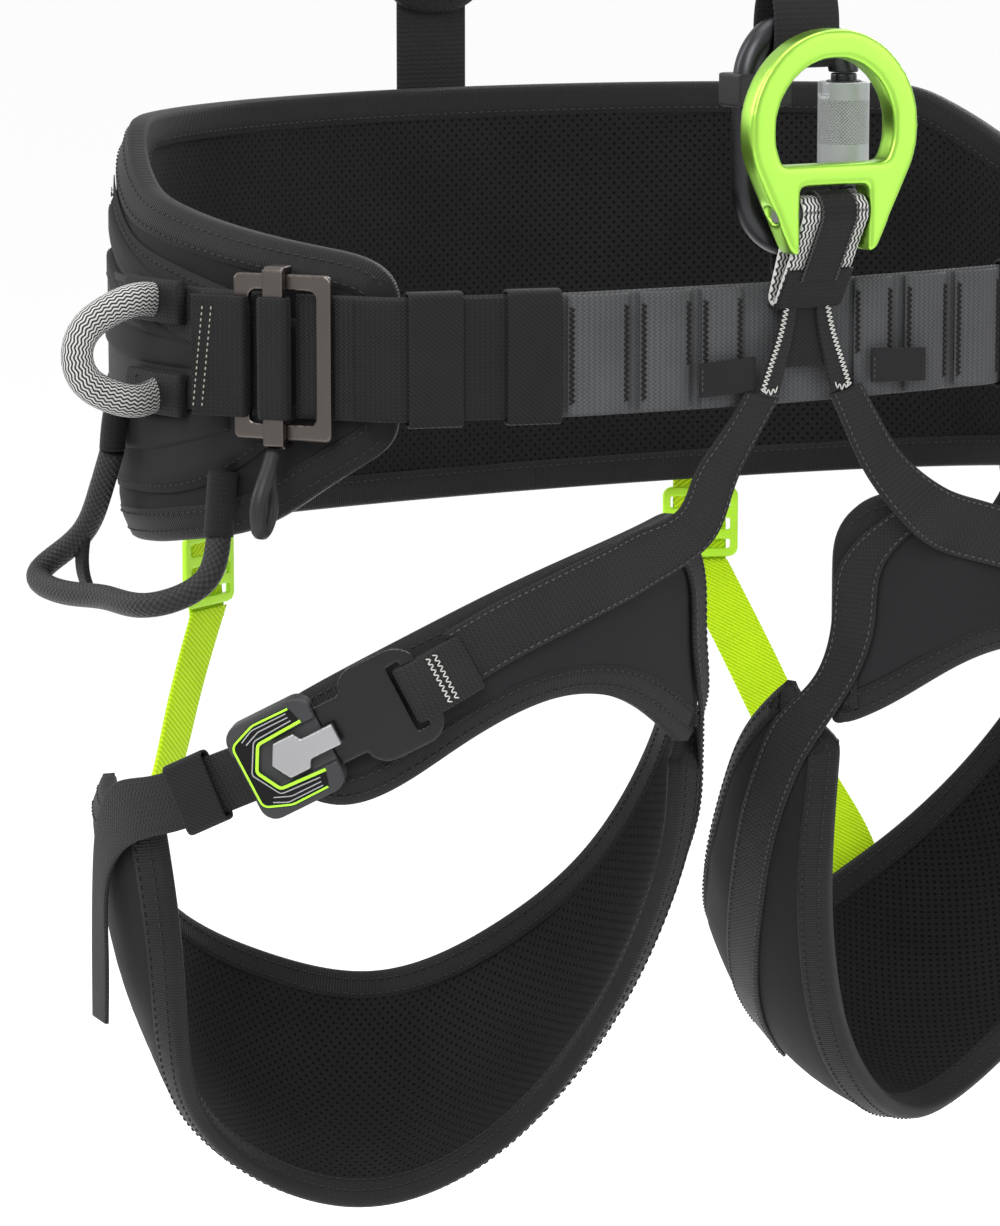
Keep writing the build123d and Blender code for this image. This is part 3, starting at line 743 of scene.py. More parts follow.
def band_round(name, centre, along, out, up, width, height, depth, wall, look, *nodes,
               body="saddle", slot="webbing"):
    """Flat loop round a bundle, centred on it."""
    along, out, up = (np.asarray(v, float) for v in (along, out, up))
    h, d = height / 2 + wall / 2, depth / 2 + wall / 2
    flat = rounded([(-d, -h), (d, -h), (d, h), (-d, h)], [min(2.2, d * 0.8)] * 4, 0.9, closed=True)
    ring = centre + flat[:, :1] * out + flat[:, 1:] * up
    band = ribbon(name, ring - along * width / 2, ring + along * width / 2, wall, closed=True)
    own(band, body, look, slot, *nodes)


def local(points, axes):
    """Points given along three axes from an origin."""
    origin, x, y, z = axes
    p = np.asarray(points, float)
    return origin + p[..., :1] * x + p[..., 1:2] * y + p[..., 2:3] * z


def corner_cut(distance, radius):
    """How far a rounded corner stands back, at a distance from the end."""
    curve = radius - np.sqrt(np.maximum(radius ** 2 - (radius - distance) ** 2, 0))
    return np.where(distance < radius, curve, 0)


def rows_eased(count):
    """Shares from 0 to 1, closer together near the ends."""
    return 0.6 * (0.5 - 0.5 * np.cos(np.linspace(0, pi, count))) + 0.4 * np.linspace(0, 1, count)


def ellipse_out(x, y, a, b):
    """Level direction square to an ellipse at a point."""
    return unit(np.array([x / a ** 2, y / b ** 2, 0]))


# ---- hip pad ------------------------------------------------------------
HIP_SLOPE = 0.5, 16
PAD_TOP_LINE = [(175, 72.5), (55, 72.5), (10, 50), (-88, 30), (-87, 0)]
PAD_LOW_LINE = [(175, -100), (60, -86), (0, -79), (-50, -70), (-87, -36), (-88, 0)]
PAD_TOP = rounded(PAD_TOP_LINE, [40, 40, 20], 1.0)[::-1]
PAD_LOW = rounded(PAD_LOW_LINE, [60, 60, 60, 18], 1.0)[::-1]
NOSE_Y = -87.5


def height_at(line, y, mid):
    keep = np.abs(line[:, 1]) > mid
    return np.interp(y, line[keep, 0], line[keep, 1])


def pad_columns(a, b, step=7.0, margin=30):
    """Angles round the ellipse from the right nose over the back to the left one."""
    start = np.arcsin(NOSE_Y / b)
    phi = np.linspace(start, pi - start, 2000)
    s = arc(np.stack([-a * np.cos(phi), b * np.sin(phi)], 1))
    ease = np.array([0, 0.6, 1.4, 2.6, 4.2, 6.2, 8.6, 11.5, 15, 19, 24, margin])
    middle = np.linspace(margin + step, s[-1] - margin - step, int((s[-1] - 2 * margin) / step))
    at = np.concatenate([ease, middle, (s[-1] - ease)[::-1]])
    return np.interp(at, s, phi)


def pad_grid(a, b, rows=25):
    phi = pad_columns(a, b)
    x, y = -a * np.cos(phi), b * np.sin(phi)
    top, foot = height_at(PAD_TOP, y, 16), height_at(PAD_LOW, y, 20)
    z = foot[:, None] + (top - foot)[:, None] * rows_eased(rows)[None, :]
    return upright_grid(x, y, z, a, b)


def upright_grid(x, y, z, a, b):
    """Columns at (x, y) of an upright elliptic wall, with the wall's normals."""
    grid = np.stack([np.broadcast_to(x[:, None], z.shape), np.broadcast_to(y[:, None], z.shape), z], -1)
    return grid, unit(np.stack([grid[..., 0] / a ** 2, grid[..., 1] / b ** 2, 0 * z], -1))


def hip_pad():
    grid, normal = pad_grid(PAD_A, PAD_B)
    cushion("hip_pad_foam", grid, normal, PAD, HIP_SLOPE, 0.7, 3.0,
            "saddle", PAD_CLOTH, "pad_fabric", "hip_pad")
    lining = panel("hip_pad_mesh", grid, normal, 0.0, LINING, HIP_SLOPE, 0.9, 9.0)
    own(lining, "saddle", MESH, "mesh_lining", "hip_pad_lining")
    rim = rim_of(grid, normal)
    own(binding("hip_pad_tape", rim, PAD, LINING, HIP_SLOPE), "saddle", TAPE, "binding", "hip_pad_binding")
    runs = [rim_stitches(rim, depth, PAD, HIP_SLOPE) for depth in (9.6, 3.0)]
    runs.append(rim_stitches(rim, 9.6, LINING, HIP_SLOPE, -1))
    sew("hip_pad_stitches", runs, THREAD_DARK, 0.32, slot="binding")


def on_hip(y, z, out, side=1):
    """Point on the hip pad's outside at (y, z), lifted by out."""
    y, z = np.asarray(y, float), np.asarray(z, float)
    a, b = OUT_A + out, OUT_B + out
    x = -a * np.sqrt(np.maximum(1 - (y / b) ** 2, 0)) * side
    return np.stack([x, y, z + 0 * y], -1)


def hip_normal(y, side=1):
    y = np.asarray(y, float)
    x = -OUT_A * np.sqrt(np.maximum(1 - (y / OUT_B) ** 2, 0)) * side
    return unit(np.stack([x / OUT_A ** 2, y / OUT_B ** 2, 0 * y], -1))


COVER_TOP = [(-73, 8), (-60, 14), (-40, 21), (-15, 27.5), (10, 34.5), (28, 44), (45, 53)]
COVER_LOW = [(-73, -22), (-60, -38), (-40, -52), (-15, -59), (10, -61), (28, -62.5), (45, -63.5)]
BANDS = [     # name, top line, lower line, thickness less 0.2
    ("band_top", [(45, 44), (20, 33), (-10, 21), (-40, 9)],
     [(45, 31), (20, 20), (-10, 9), (-40, 0)], 2.0),
    ("band_high", [(45, 27), (20, 18), (-10, 8), (-38, -2)],
     [(45, 14), (20, 6), (-10, -2), (-38, -8)], 2.9),
    ("band_mid", [(44, 8), (20, 4), (-10, 1), (-44, -1)],
     [(44, -9), (20, -11), (-10, -12), (-44, -12)], 3.8),
    ("band_low", [(45, -30), (20, -31), (-10, -30), (-48, -22)],
     [(45, -46), (20, -46), (-10, -43), (-48, -33)], 2.0),
]


def strip_on_hip(name, top, low, out, thickness, side, count=40, rows=9):
    """A softshell strip between two lines of (y, z) on the hip pad's outside."""
    t, l = (spline([(y, z, 0) for y, z in line], count) for line in (top, low))
    grid, normal = np.zeros((count, rows, 3)), np.zeros((count, rows, 3))
    for k, share in enumerate(np.linspace(0, 1, rows)):
        q = l * (1 - share) + t * share
        grid[:, k] = on_hip(q[:, 0], q[:, 1], out, side)
        normal[:, k] = hip_normal(q[:, 0], side)
    return panel(name, grid, normal, thickness, 0.0, (0.35, 2.5), 0.25, out), grid, normal


def hip_covers():
    for word, side in SIDES:
        cover, grid, normal = strip_on_hip(f"{word}_hip_cover", COVER_TOP, COVER_LOW, 0.5, 1.3, side)
        own(cover, "saddle", SOFTSHELL, "softshell", "hip_covers")
        p, d, n = rim_of(grid, normal)
        runs = [running(p + d * 2.6 + n * 1.2, n, closed=True)]
        for name, top, low, out in BANDS:
            piece, g, m = strip_on_hip(f"{word}_{name}", top, low, 1.0, out + 0.2, side)
            own(piece, "saddle", SOFTSHELL, "softshell")
            for j in (1, -2):
                runs.append(running(g[:, j] + m[:, j] * (0.62 * out + 0.1), m[:, j], 3.0, 2.0))
        sew(f"{word}_cover_stitches", runs, THREAD_DARK, 0.28, slot="softshell")


# ---- belt ---------------------------------------------------------------
BELT_CORNERS = [(-179, -74), (-155, -102), (-90, -120)]
BELT_FRONT_Y = -128
BACK_END_Y = -62
SLOT_SPANS = [(-94, -70), (-66, -45), (-41, -24), (24, 42), (48, 68), (72, 94)]
RISER_REACH = 50      # nearer the middle, slots are flatter and their tacks start higher, clear of the front risers


def belt_line(offset=0.0, step=3.0):
    """Plan of the belt's front and the directions square to it."""
    pts = BELT_CORNERS + [(0, BELT_FRONT_Y)] + [(-x, y) for x, y in reversed(BELT_CORNERS)]
    flat = rounded(pts, [20, 100, 420, 100, 20], step)
    t = unit(np.gradient(flat, axis=0))
    out = np.stack([t[:, 1], -t[:, 0]], 1)
    return flat + out * offset, out


def at_height(plan, z):
    return np.column_stack([plan, np.full(len(plan), z)])


def belt_edges(plan, inset=0.0):
    """Lower and upper edge of belt webbing over a plan path."""
    return at_height(plan, WEB_Z0 + inset), at_height(plan, WEB_Z0 + WEB - inset)


def belt_part(x0, x1, offset, step):
    plan, out = belt_line(offset, step)
    keep = (plan[:, 0] >= x0) & (plan[:, 0] <= x1)
    return plan[keep], out[keep]


def belt():
    a, b = SHELL_A + 1.0, SHELL_B + 1.0
    start = np.arcsin(BACK_END_Y / b)
    phi = np.linspace(start, pi - start, 180)
    plan = np.stack([-a * np.cos(phi), b * np.sin(phi)], 1)
    web("belt_back", *belt_edges(plan), WEB_T, WEBBING, "waist_webbing")
    out = unit(np.stack([plan[:, 0] / a ** 2, plan[:, 1] / b ** 2, 0 * phi], 1))
    runs = [running(line + out * 1.1, out) for line in belt_edges(plan, 3)]
    sew("belt_back_stitches", runs, THREAD_DARK, 0.28)
    plan, out = belt_line()
    for word, side in SIDES:
        web(f"{word}_belt_side", *belt_edges(plan[plan[:, 0] * side < -96]), WEB_T, WEBBING, "front_webbing")
    web("belt_front", *belt_edges(plan[np.abs(plan[:, 0]) <= 99]), WEB_T, WEBBING_GREY)


def tool_slots():
    """Second layer of webbing on the belt's front, lifted between its bar tacks."""
    runs = []
    for k, (x0, x1) in enumerate(SLOT_SPANS):
        plan, out = belt_part(x0, x1, 0, 1.0)
        s = np.linspace(0, 1, len(plan))
        height = 1.0 if max(abs(x0), abs(x1)) < RISER_REACH else 2.2
        plan = plan + out * (2.1 + height * np.sin(s * pi) ** 0.8)[:, None]
        web(f"tool_loop_{k + 1}", *belt_edges(plan, 0.6), 1.4, WEBBING_GREY)
        for end in (1, -2):
            x, y = plan[end]
            n = np.array([*out[end], 0])
            foot = WEB_Z0 + (17 if abs(x) < RISER_REACH else 5)
            line = np.linspace((x, y, foot), (x, y, WEB_Z0 + WEB - 5), 12)
            runs.append(zigzag(line + n * 0.8, n, np.cross(n, (0, 0, 1)), 2.6, 1.0))
    sew("slot_tacks", runs, WEBBING_DARK, 0.42)


def tails():
    for word, side in SIDES:
        low, high = belt_edges(belt_part(-167, -112, 2.8, 1.5)[0], 0.5)
        web(f"{word}_belt_tail", flip(low, side), flip(high, side), WEB_T, WEBBING_DARK, "strap_tails")


def keepers():
    a, b = np.array(BELT_CORNERS[1], float), np.array(BELT_CORNERS[2], float)
    run = unit(b - a)
    along, out = np.array([*run, 0]), np.array([run[1], -run[0], 0])
    for word, side in SIDES:
        for name, x in (("outer_keeper", -141), ("inner_keeper", -106)):
            middle = np.array([*(a + (b - a) * (x - a[0]) / (b[0] - a[0])), WEB_MID]) + out * 1.4
            band_round(f"{word}_{name}_band", flip(middle, side), flip(along, side), flip(out, side), (0, 0, 1),
                       20, WEB + 1.4, 6.2, 1.2, ELASTIC, f"{word}_{name}", body=f"{word}_{name}", slot="elastic")


# ---- slide-block buckles ------------------------------------------------
BUCKLE_AT = 29      # degrees round the belt, forward of the side


def buckles():
    t = radians(BUCKLE_AT)
    out = unit(np.array([-cos(t) / SHELL_A, -sin(t) / SHELL_B, 0]))
    along = unit(np.array([SHELL_A * sin(t), -SHELL_B * cos(t), 0]))
    up = np.array([0, 0, 1.0])
    axes = np.array([-SHELL_A * cos(t), -SHELL_B * sin(t), WEB_MID]) + out * 5.2, along, up, out
    profile = rounded([(-34, 5.6), (-13.8, 5.6), (-13.8, -2.6), (-34, -2.6)], [1.0, 4.0, 4.0, 1.0], 1.0)
    middle = np.array([[x, 0, z] for x, z in profile])
    half = np.array([0, WEB / 2 - 0.6, 0])
    softened("slide_buckle_frames", "buckle_frames", 0.55, 5, "saddle", GUNMETAL, "gunmetal")
    for word, side in SIDES:
        softened(f"{word}_slide_bar", f"{word}_buckle_slider", 0.55, 5, f"{word}_slider", GUNMETAL, "gunmetal")
        turn = [flip(v, side) for v in (up, out, along)]
        band_round(f"{word}_slide_wrap", flip(local([(-2, 0, 5.3)], axes), side)[0], *turn,
                   WEB - 1, 9.4, 4.6, 1.3, WEBBING_DARK, body=f"{word}_slider")
        low, high = (flip(local(middle + edge, axes), side) for edge in (-half, half))
        web(f"{word}_buckle_wrap", low, high, 1.6, WEBBING_DARK, "buckle_loops")
        runs = []
        for x in (-31.5, -28.0):
            line = [(x + 0.11 * y, y, 6.4) for y in np.linspace(-19, 19, 10)]
            runs.append(running(flip(local(line, axes), side), flip(out, side), 2.2, 1.3, 0.1))
        sew(f"{word}_buckle_stitches", runs, THREAD_PALE)


# ---- lateral loops ------------------------------------------------------
LATERAL_Y, LATERAL_Z, LATERAL_HALF = -27, -4, 18     # middle of the loop and half its height


def lateral():
    x = -(SHELL_A * sqrt(1 - (LATERAL_Y / SHELL_B) ** 2)) - 10
    y, z, h = LATERAL_Y, LATERAL_Z, LATERAL_HALF
    half = [(x + 3.5, y + 8, h - 1), (x - 8, y + 1.5, h + 0.4), (x - 22, y - 1.8, h - 3.2), (x - 31.5, y - 3, 8)]
    route = [(p, q, z + r) for p, q, r in half] + [(x - 34, y - 3, z)] + [(p, q, z - r) for p, q, r in half[::-1]]
    sleeve_y, tack_y = np.linspace(y + 26, y - 6, 30), y + 18.0
    for word, side in SIDES:
        path = flip(spline(route, 90), side)
        piece = tube(f"{word}_lateral_web", path, 6.2, 24, flat=0.62, up=(0, 1, 0.0))
        own(piece, f"{word}_lateral", LATERAL, "sling_webbing", f"{word}_lateral_loop")
        runs = []
        for k, middle in enumerate((z + 17, z - 17)):
            low, high = (on_hip(sleeve_y, np.full(30, middle + edge), 6.2, side) for edge in (-8.0, 8.0))
            web(f"{word}_lateral_sleeve_{k + 1}", low, high, 4.4, WEBBING_DARK, "lateral_sleeves", crown=1.1)
            base = on_hip(np.full(8, tack_y), np.linspace(middle - 6, middle + 6, 8), 8.9, side)
            runs.append(zigzag(base, hip_normal(tack_y, side), (0, 1, 0), 2.2, 1.0))
        sew(f"{word}_sleeve_tacks", runs, THREAD_DARK, 0.35)


# ---- gear loops ---------------------------------------------------------
GEAR_ROUTE = [(-211, 13, -46), (-212, 24, -66), (-216, 38, -84), (-226, 46, -95), (-229, 27, -99),
              (-225, -9, -97), (-219, -45, -94), (-206, -54, -85), (-199, -50, -71)]
GEAR_SLEEVES = (([(-209.5, 11, -28), (-210.5, 12, -36), (-211, 13, -45.5)], 14),
                ([(-197, -50, -47), (-198, -50, -58), (-199, -50, -70.5)], 16))
PULL_LOOP = [(-189, -74, -38), (-195, -79, -47), (-198.5, -80, -58), (-196, -78, -66), (-191, -75, -60),
             (-190, -73, -48), (-189, -73, -39)]
HIP_TAB = [(-209, 30, -60), (-213, 33, -78), (-213, 35, -96), (-209, 37, -104)]


def gear_loops():
    for word, side in SIDES:
        piece = tube(f"{word}_gear_cord", flip(spline(GEAR_ROUTE, 120), side), 4.6, 18)
        own(piece, f"{word}_gear", CORD, "cord", f"{word}_gear_loop")
        for k, (points, count) in enumerate(GEAR_SLEEVES):
            sleeve = tube(f"{word}_gear_sleeve_{k + 1}", flip(spline(points, count), side), 5.6, 16, flat=0.85)
            own(sleeve, "saddle", WEBBING_DARK, "webbing", "gear_loop_tabs")
        drop = tube(f"{word}_pull_loop", flip(spline(PULL_LOOP, 50), side), 3.0, 12, flat=0.8)
        own(drop, "saddle", BLACK_PLASTIC, "webbing")
        strap, edge = spline(HIP_TAB, 24), np.array([0, 4.0, 0])
        web(f"{word}_hip_tab", flip(strap - edge, side), flip(strap + edge, side), 2.4, WEBBING_DARK)


# ---- back strap, dorsal pad, chest strap --------------------------------
BACK_Y = SHELL_B + 2.3
DORSAL_SLOPE = 0.35, 15
CHEST_RISE = [(1.1, 70), (1.1, 32), (1.4, 14), (5.6, 3), (7.0, -6), (6.2, -15), (2.6, -20.6)]


def plate_grid(width, height, radius, count=25, rows=17):
    """Flat rounded rectangle about the origin as a grid of (x, z)."""
    x = -np.cos(np.linspace(0, pi, count)) * width / 2
    half = height / 2 - corner_cut(width / 2 - np.abs(x), radius)
    v = -0.5 * np.cos(np.linspace(0, pi, rows)) + 0.5 * np.linspace(-1, 1, rows)
    return np.broadcast_to(x[:, None], (count, rows)), half[:, None] * v[None, :]


def wide_web(name, mid, half, thickness, look, *nodes):
    """Webbing whose width runs from left to right."""
    return web(name, mid - [half, 0, 0], mid + [half, 0, 0], thickness, look, *nodes)


def straps():
    strap = np.linspace((0, BACK_Y + 1.0, -20), (0, BACK_Y + 1.0, 116), 60)
    wide_web("back_strap_web", strap, 16, 1.8, WEBBING, "back_strap")
    runs = []
    for level in (-15, 10, 14):
        line = np.linspace((-13, BACK_Y + 2.0, level), (13, BACK_Y + 2.0, level), 14)
        runs.append(zigzag(line, (0, 1, 0), (0, 0, 1), 2.6, 1.0))
    sew("back_strap_tacks", runs, THREAD_DARK, 0.35)
    lowest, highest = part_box("dorsal_pad")
    x, z = plate_grid(50, 72, 20)
    grid = np.stack([x, np.full(x.shape, highest.y / MM - 1.0), z + (lowest.z + highest.z) / MM / 2], -1)
    normal = np.broadcast_to(np.array([0, -1.0, 0]), grid.shape)
    cushion("dorsal_cushion", grid, normal, 7.6, DORSAL_SLOPE, 0.4, 5,
            "saddle", PAD_CLOTH, "pad_fabric", "dorsal_pad")
    trim = binding("dorsal_trim", rim_of(grid, normal), 7.6, 0.5, DORSAL_SLOPE, width=7, skin=0.4)
    own(trim, "saddle", TAPE, "binding")
    y, top = CARABINER_Y, CARABINER_TOP
    route = [(y - w, top + h) for w, h in CHEST_RISE] + [(y + w, top + h) for w, h in CHEST_RISE[::-1]]
    mid = spline([(CARABINER_X, a, b) for a, b in route], 150)
    wide_web("chest_web", mid, 14, 1.6, WEBBING, "chest_strap")
    tack = np.linspace((-9, y - 3.2, top + 14), (14, y - 3.2, top + 14), 14)
    sew("chest_tack", [zigzag(tack, (0, -1, 0), (0, 0, 1), 3, 1.0)], THREAD_DARK, 0.35)


# ---- ventral sling ------------------------------------------------------
def hull_loop(circles, extra, count):
    """Closed outline round two circles, each (y, z, radius), grown by extra, in the plane x = 0."""
    pts = []
    for y, z, r in circles:
        a = np.linspace(0, 2 * pi, 120, endpoint=False)
        pts += [(y + (r + extra) * cos(w), z + (r + extra) * sin(w)) for w in a]
    pts = sorted(pts)
    chain = []
    for source in (pts, pts[::-1]):
        part = []
        for q in source:
            while len(part) > 1 and ((part[-1][0] - part[-2][0]) * (q[1] - part[-2][1])
                                     - (part[-1][1] - part[-2][1]) * (q[0] - part[-2][0])) <= 0:
                part.pop()
            part.append(q)
        chain += part[:-1]
    chain.append(chain[0])
    loop = resample(np.array(chain), count, closed=True)
    return np.column_stack([loop[:, 0] * 0, loop])


def stretch(loop, keep):
    """The one run of a closed line that is kept, in order."""
    return np.roll(loop, -int(np.argmax(keep & ~np.roll(keep, 1))), 0)[:int(keep.sum())]


def sling():
    lowest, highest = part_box("ventral_sling")
    face = highest.y / MM
    foot_y, foot_z = face - 3.6, lowest.z / MM + 3.6
    circles = [(RING_Y, PIN_Z, 3.8), (foot_y, foot_z, 1.0)]
    loop = hull_loop(circles, 1.3, 110)
    strap = ribbon("sling_web", loop - [14, 0, 0], loop + [14, 0, 0], 2.4, closed=True)
    own(strap, "saddle", SLING, "sling_webbing", "ventral_sling")
    wrap = hull_loop(circles, 3.3, 150)
    mid = stretch(wrap, (wrap[:, 2] > 20) & (wrap[:, 1] < face - 1.8))
    wide_web("sling_cover", mid, 7.8, 1.3, WEBBING_DARK, "sling_sleeve")
    out = np.cross(unit(np.gradient(mid, axis=0)), (1.0, 0, 0))
    if out[0] @ (mid[0] - mid.mean(0)) < 0:
        out = -out
    lines = (mid + np.array([x, 0, 0]) + out * 0.7 for x in (-7.4, 7.4))
    runs = [zigzag(line, (0, -1, 0), (1, 0, 0), 1.3, 0.9, 0.1) for line in lines]
    sew("sling_stitches", runs, THREAD_GREY, 0.27)
    foot = hull_loop(circles, 3.0, 150)
    foot = stretch(foot, (foot[:, 2] < 25) & (foot[:, 1] < foot_y + 1))
    wide_web("sling_foot", foot, 14.4, 1.3, WEBBING_DARK)
    gusset(face - 4.6)


ARM_OUTER = [(9.5, 13.5), (12.4, 1), (16.6, -10.5), (20.2, -20.2)]
ARM_INNER = [(4.0, 13.5), (5.6, 1), (8.4, -10), (11.6, -22)]
ARM_CURL = [(18.6, -19.6), (15.5, -20.6), (12.6, -19.4)]


def gusset(front):
    """Two webbing arms that spread from the sling's foot to the front risers."""
    runs = []
    for k, side in enumerate((-1, 1)):
        a, b = (spline([(side * x, front, z) for x, z in line], 40) for line in (ARM_OUTER, ARM_INNER))
        web(f"gusset_arm_{k + 1}", a, b, 1.6, WEBBING, "ventral_gusset")
        runs.append(zigzag(a + [-side * 1.2, -0.9, 0], (0, -1, 0), (side, 0, 0.25), 2.5, 0.8))
        curl = [(side * x, front - 0.9, z) for x, z in ARM_CURL]
        runs.append(zigzag(curl, (0, -1, 0), (0, 0, 1), 2.3, 0.8))
    top = np.linspace((-8, front - 0.9, 12.0), (8, front - 0.9, 12.0), 10)
    runs.append(zigzag(top, (0, -1, 0), (0, 0, 1), 1.9, 0.85))
    sew("gusset_stitches", runs, THREAD_LIGHT, 0.27)
    left, right = (np.linspace((k * 6.0, front + 1.3, 13.0), (k * 11.0, front + 1.3, -12.0), 26) for k in (-1, 1))
    web("gusset_bridge", left, right, 1.4, ELASTIC, "ventral_gusset")


def labels():
    """Two plain tabs in front of the belt, each sewn along one end."""
    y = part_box("label_tabs")[0].y / MM - 3.6
    s = np.linspace(-12, 12, 14)
    bow = 0.5 * np.sin((s + 12) / 24 * pi)
    for k, (x, tilt) in enumerate(((-33, 0.05), (42, -0.05))):
        low, high = (np.column_stack([x + s, y - bow, z + s * tilt]) for z in (-20.3, -7.7))
        own(ribbon(f"label_tab_{k + 1}", low, high, 0.9), "saddle", SOFTSHELL, "label", "label_tabs")
        line = np.linspace((x - 11, y - 0.6, -19), (x - 11, y - 0.6, -9), 6)
        sew(f"label_stitch_{k + 1}", [running(line, (0, -1, 0), 2.2, 1.5, 0.0)], THREAD_GREY, 0.28, slot="label")


def tie():
    centre = np.array([3.5, CARABINER_Y, 32.0])
    band_round("carabiner_tie_web", centre, (1, 0, 0), (0, -1, 0), (0, 0, 1), 13, 21.4, 12.6, 1.7,
               WEBBING, "carabiner_tie")


# ---- ring and carabiner -------------------------------------------------
HARDWARE = [     # piece, CAD node, voxel, smoothing passes, body, look, slot
    ("omega_ring", "ventral_ring", 0.8, 30, "ring", LIME, "green_anodised"),
    ("omega_pin", "ring_pin", 0.5, 4, "ring", STEEL, "steel"),
    ("carabiner_bow", "carabiner_body", 0.55, 5, "saddle", DARK_ALLOY, "black_anodised"),
    ("carabiner_latch", "carabiner_gate", 0.5, 4, "gate", DARK_ALLOY, "black_anodised"),
    ("lock_barrel", "gate_sleeve", 0.45, 4, "lock_sleeve", GREY_SLEEVE, "grey_anodised"),
    ("lock_bush", "sleeve_bush", 0.4, 2, "bush", BLACK_PLASTIC, "black_plastic"),
    ("carabiner_clip", "carabiner_bracket", 0.6, 6, "saddle", BLACK_PLASTIC, "black_plastic"),
]


def hardware():
    for piece in HARDWARE:
        softened(*piece)
    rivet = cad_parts["gate_rivet"]
    rivet.data.materials.clear()
    rivet.data.materials.append(STEEL)


# ---- leg loops ----------------------------------------------------------
REAR_EDGE = [(101.5, 4, -140), (99, 22, -158), (90, 38, -184), (73, 55, -214), (42, 72, -244),
             (-5, 79, -264), (-46, 74, -255), (-80, 57, -234), (-99, 34, -204), (-106, 10, -168)]
FRONT_EDGE = [(101.5, -16, -161), (100, -13, -191), (93, -8, -221), (81, -3, -252), (60, 2, -288),
              (28, 4, -320), (-12, 4, -334), (-52, -6, -319), (-74, -24, -291), (-80, -42, -256),
              (-82, -47, -220), (-88, -44, -172)]
HAMMOCK_BULGE = 0.13
HAMMOCK_RUN = 420     # the eased ends are given on this length
FRONT_TOP = [(-50, -130), (-36, -121), (0, -101), (36, -84), (73, -71), (107, -62)]
FRONT_FOOT = [(-46, -152), (-26, -161), (0, -152), (18, -140), (36, -130), (58, -124),
              (77, -128), (96, -144), (108, -158)]
FRONT_ENDS = 50, -104.6
LEG_WEB = 22
LEG_TAPE = 11
LEG_SEAMS = 9.0, 3.0
HAMMOCK_SLOPE, LEG_MESH_SLOPE, FRONT_SLOPE = (0.45, 14), (0.5, 14), (0.5, 13)


def hammock_grid(columns=90, rows=25):
    """The pad under the thigh, slung between its rear and front edges."""
    fine = 600
    rear, front = spline(REAR_EDGE, fine), spline(FRONT_EDGE, fine)
    tangent = unit(np.gradient(rear, axis=0))
    ease, margin = np.array([0, 1.0, 2.4, 4.4, 7.2, 11]) / HAMMOCK_RUN, 16 / HAMMOCK_RUN
    share = np.concatenate([ease, np.linspace(margin, 1 - margin, columns - 12), 1 - ease[::-1]])
    at = share * (fine - 1)

    def pick(q):
        return np.stack([np.interp(at, np.arange(fine), q[:, k]) for k in range(3)], 1)

    rear, front, tangent = pick(rear), pick(front), unit(pick(tangent))
    across = front - rear
    out = unit(np.cross(across, tangent))
    v = np.concatenate([[0, 0.012, 0.03, 0.055], np.linspace(0.09, 0.91, rows - 8), [0.945, 0.97, 0.988, 1]])
    bulge = np.linalg.norm(across, axis=1) * HAMMOCK_BULGE
    grid = (rear[:, None] + across[:, None] * v[None, :, None]
            + out[:, None] * (bulge[:, None] * np.sin(pi * v)[None, :])[..., None])
    return grid, surface_normals(grid, np.broadcast_to(out[:, None], grid.shape))


def front_grid(columns=64, rows=19):
    """The pad on the front of the thigh, with rounded corners."""
    top, foot = spline(FRONT_TOP, 300), spline(FRONT_FOOT, 300)
    a, b = LEG_A + LEG_LINING, LEG_B + LEG_LINING
    phi = np.linspace(*(np.arccos(x / a) for x in FRONT_ENDS), 2000)
    x, y = -a * np.cos(phi), -b * np.sin(phi)
    s = arc(np.stack([x, y], 1))
    ease = np.array([0, 0.5, 1.3, 2.5, 4.2, 6.5, 9.5])
    at = np.concatenate([ease, np.linspace(13, s[-1] - 13, columns - 14), s[-1] - ease[::-1]])
    x, y, d = np.interp(at, s, x), np.interp(at, s, y), np.minimum(at, s[-1] - at)
    high, low = np.interp(x, top[:, 0], top[:, 1]), np.interp(x, foot[:, 0], foot[:, 1])
    first_half = at < s[-1] / 2
    cut = corner_cut(d, np.where(first_half, 10.0, 4.0))
    drop = corner_cut(d, np.where(first_half, 10.0, 26.0))
    z = (low + cut)[:, None] + (high - low - cut - drop)[:, None] * rows_eased(rows)[None, :]
    return upright_grid(x, y, z, a, b)


def on_leg(points, side=1):
    return flip(leg_place(points), side)


def placed(grid, normal, side):
    """A leg-frame grid and its normals on the chosen side."""
    g = on_leg(grid, side)
    return g, unit(on_leg(grid + normal, side) - g)


def leg_outside(x, extra):
    return -(LEG_OUT_B + extra) * np.sqrt(np.maximum(1 - (x / (LEG_OUT_A + extra)) ** 2, 0))


def leg_edges(stations, width, extra):
    """Edge points of webbing on the front of the loop; stations are (x, z, slope)."""
    upper, lower = [], []
    for x, z, slope in stations:
        dx, dz = -sin(radians(slope)) * width / 2, cos(radians(slope)) * width / 2
        upper.append((x + dx, leg_outside(x + dx, extra), z + dz))
        lower.append((x - dx, leg_outside(x - dx, extra), z - dz))
    return upper, lower


def wrap_edges(stations, half_angle, extra):
    """Edge points of webbing on the side of the loop; stations are (angle, z)."""
    a, b = LEG_OUT_A + extra, LEG_OUT_B + extra
    return [[(a * cos(radians(t + turn)), b * sin(radians(t + turn)), z) for t, z in stations]
            for turn in (-half_angle, half_angle)]


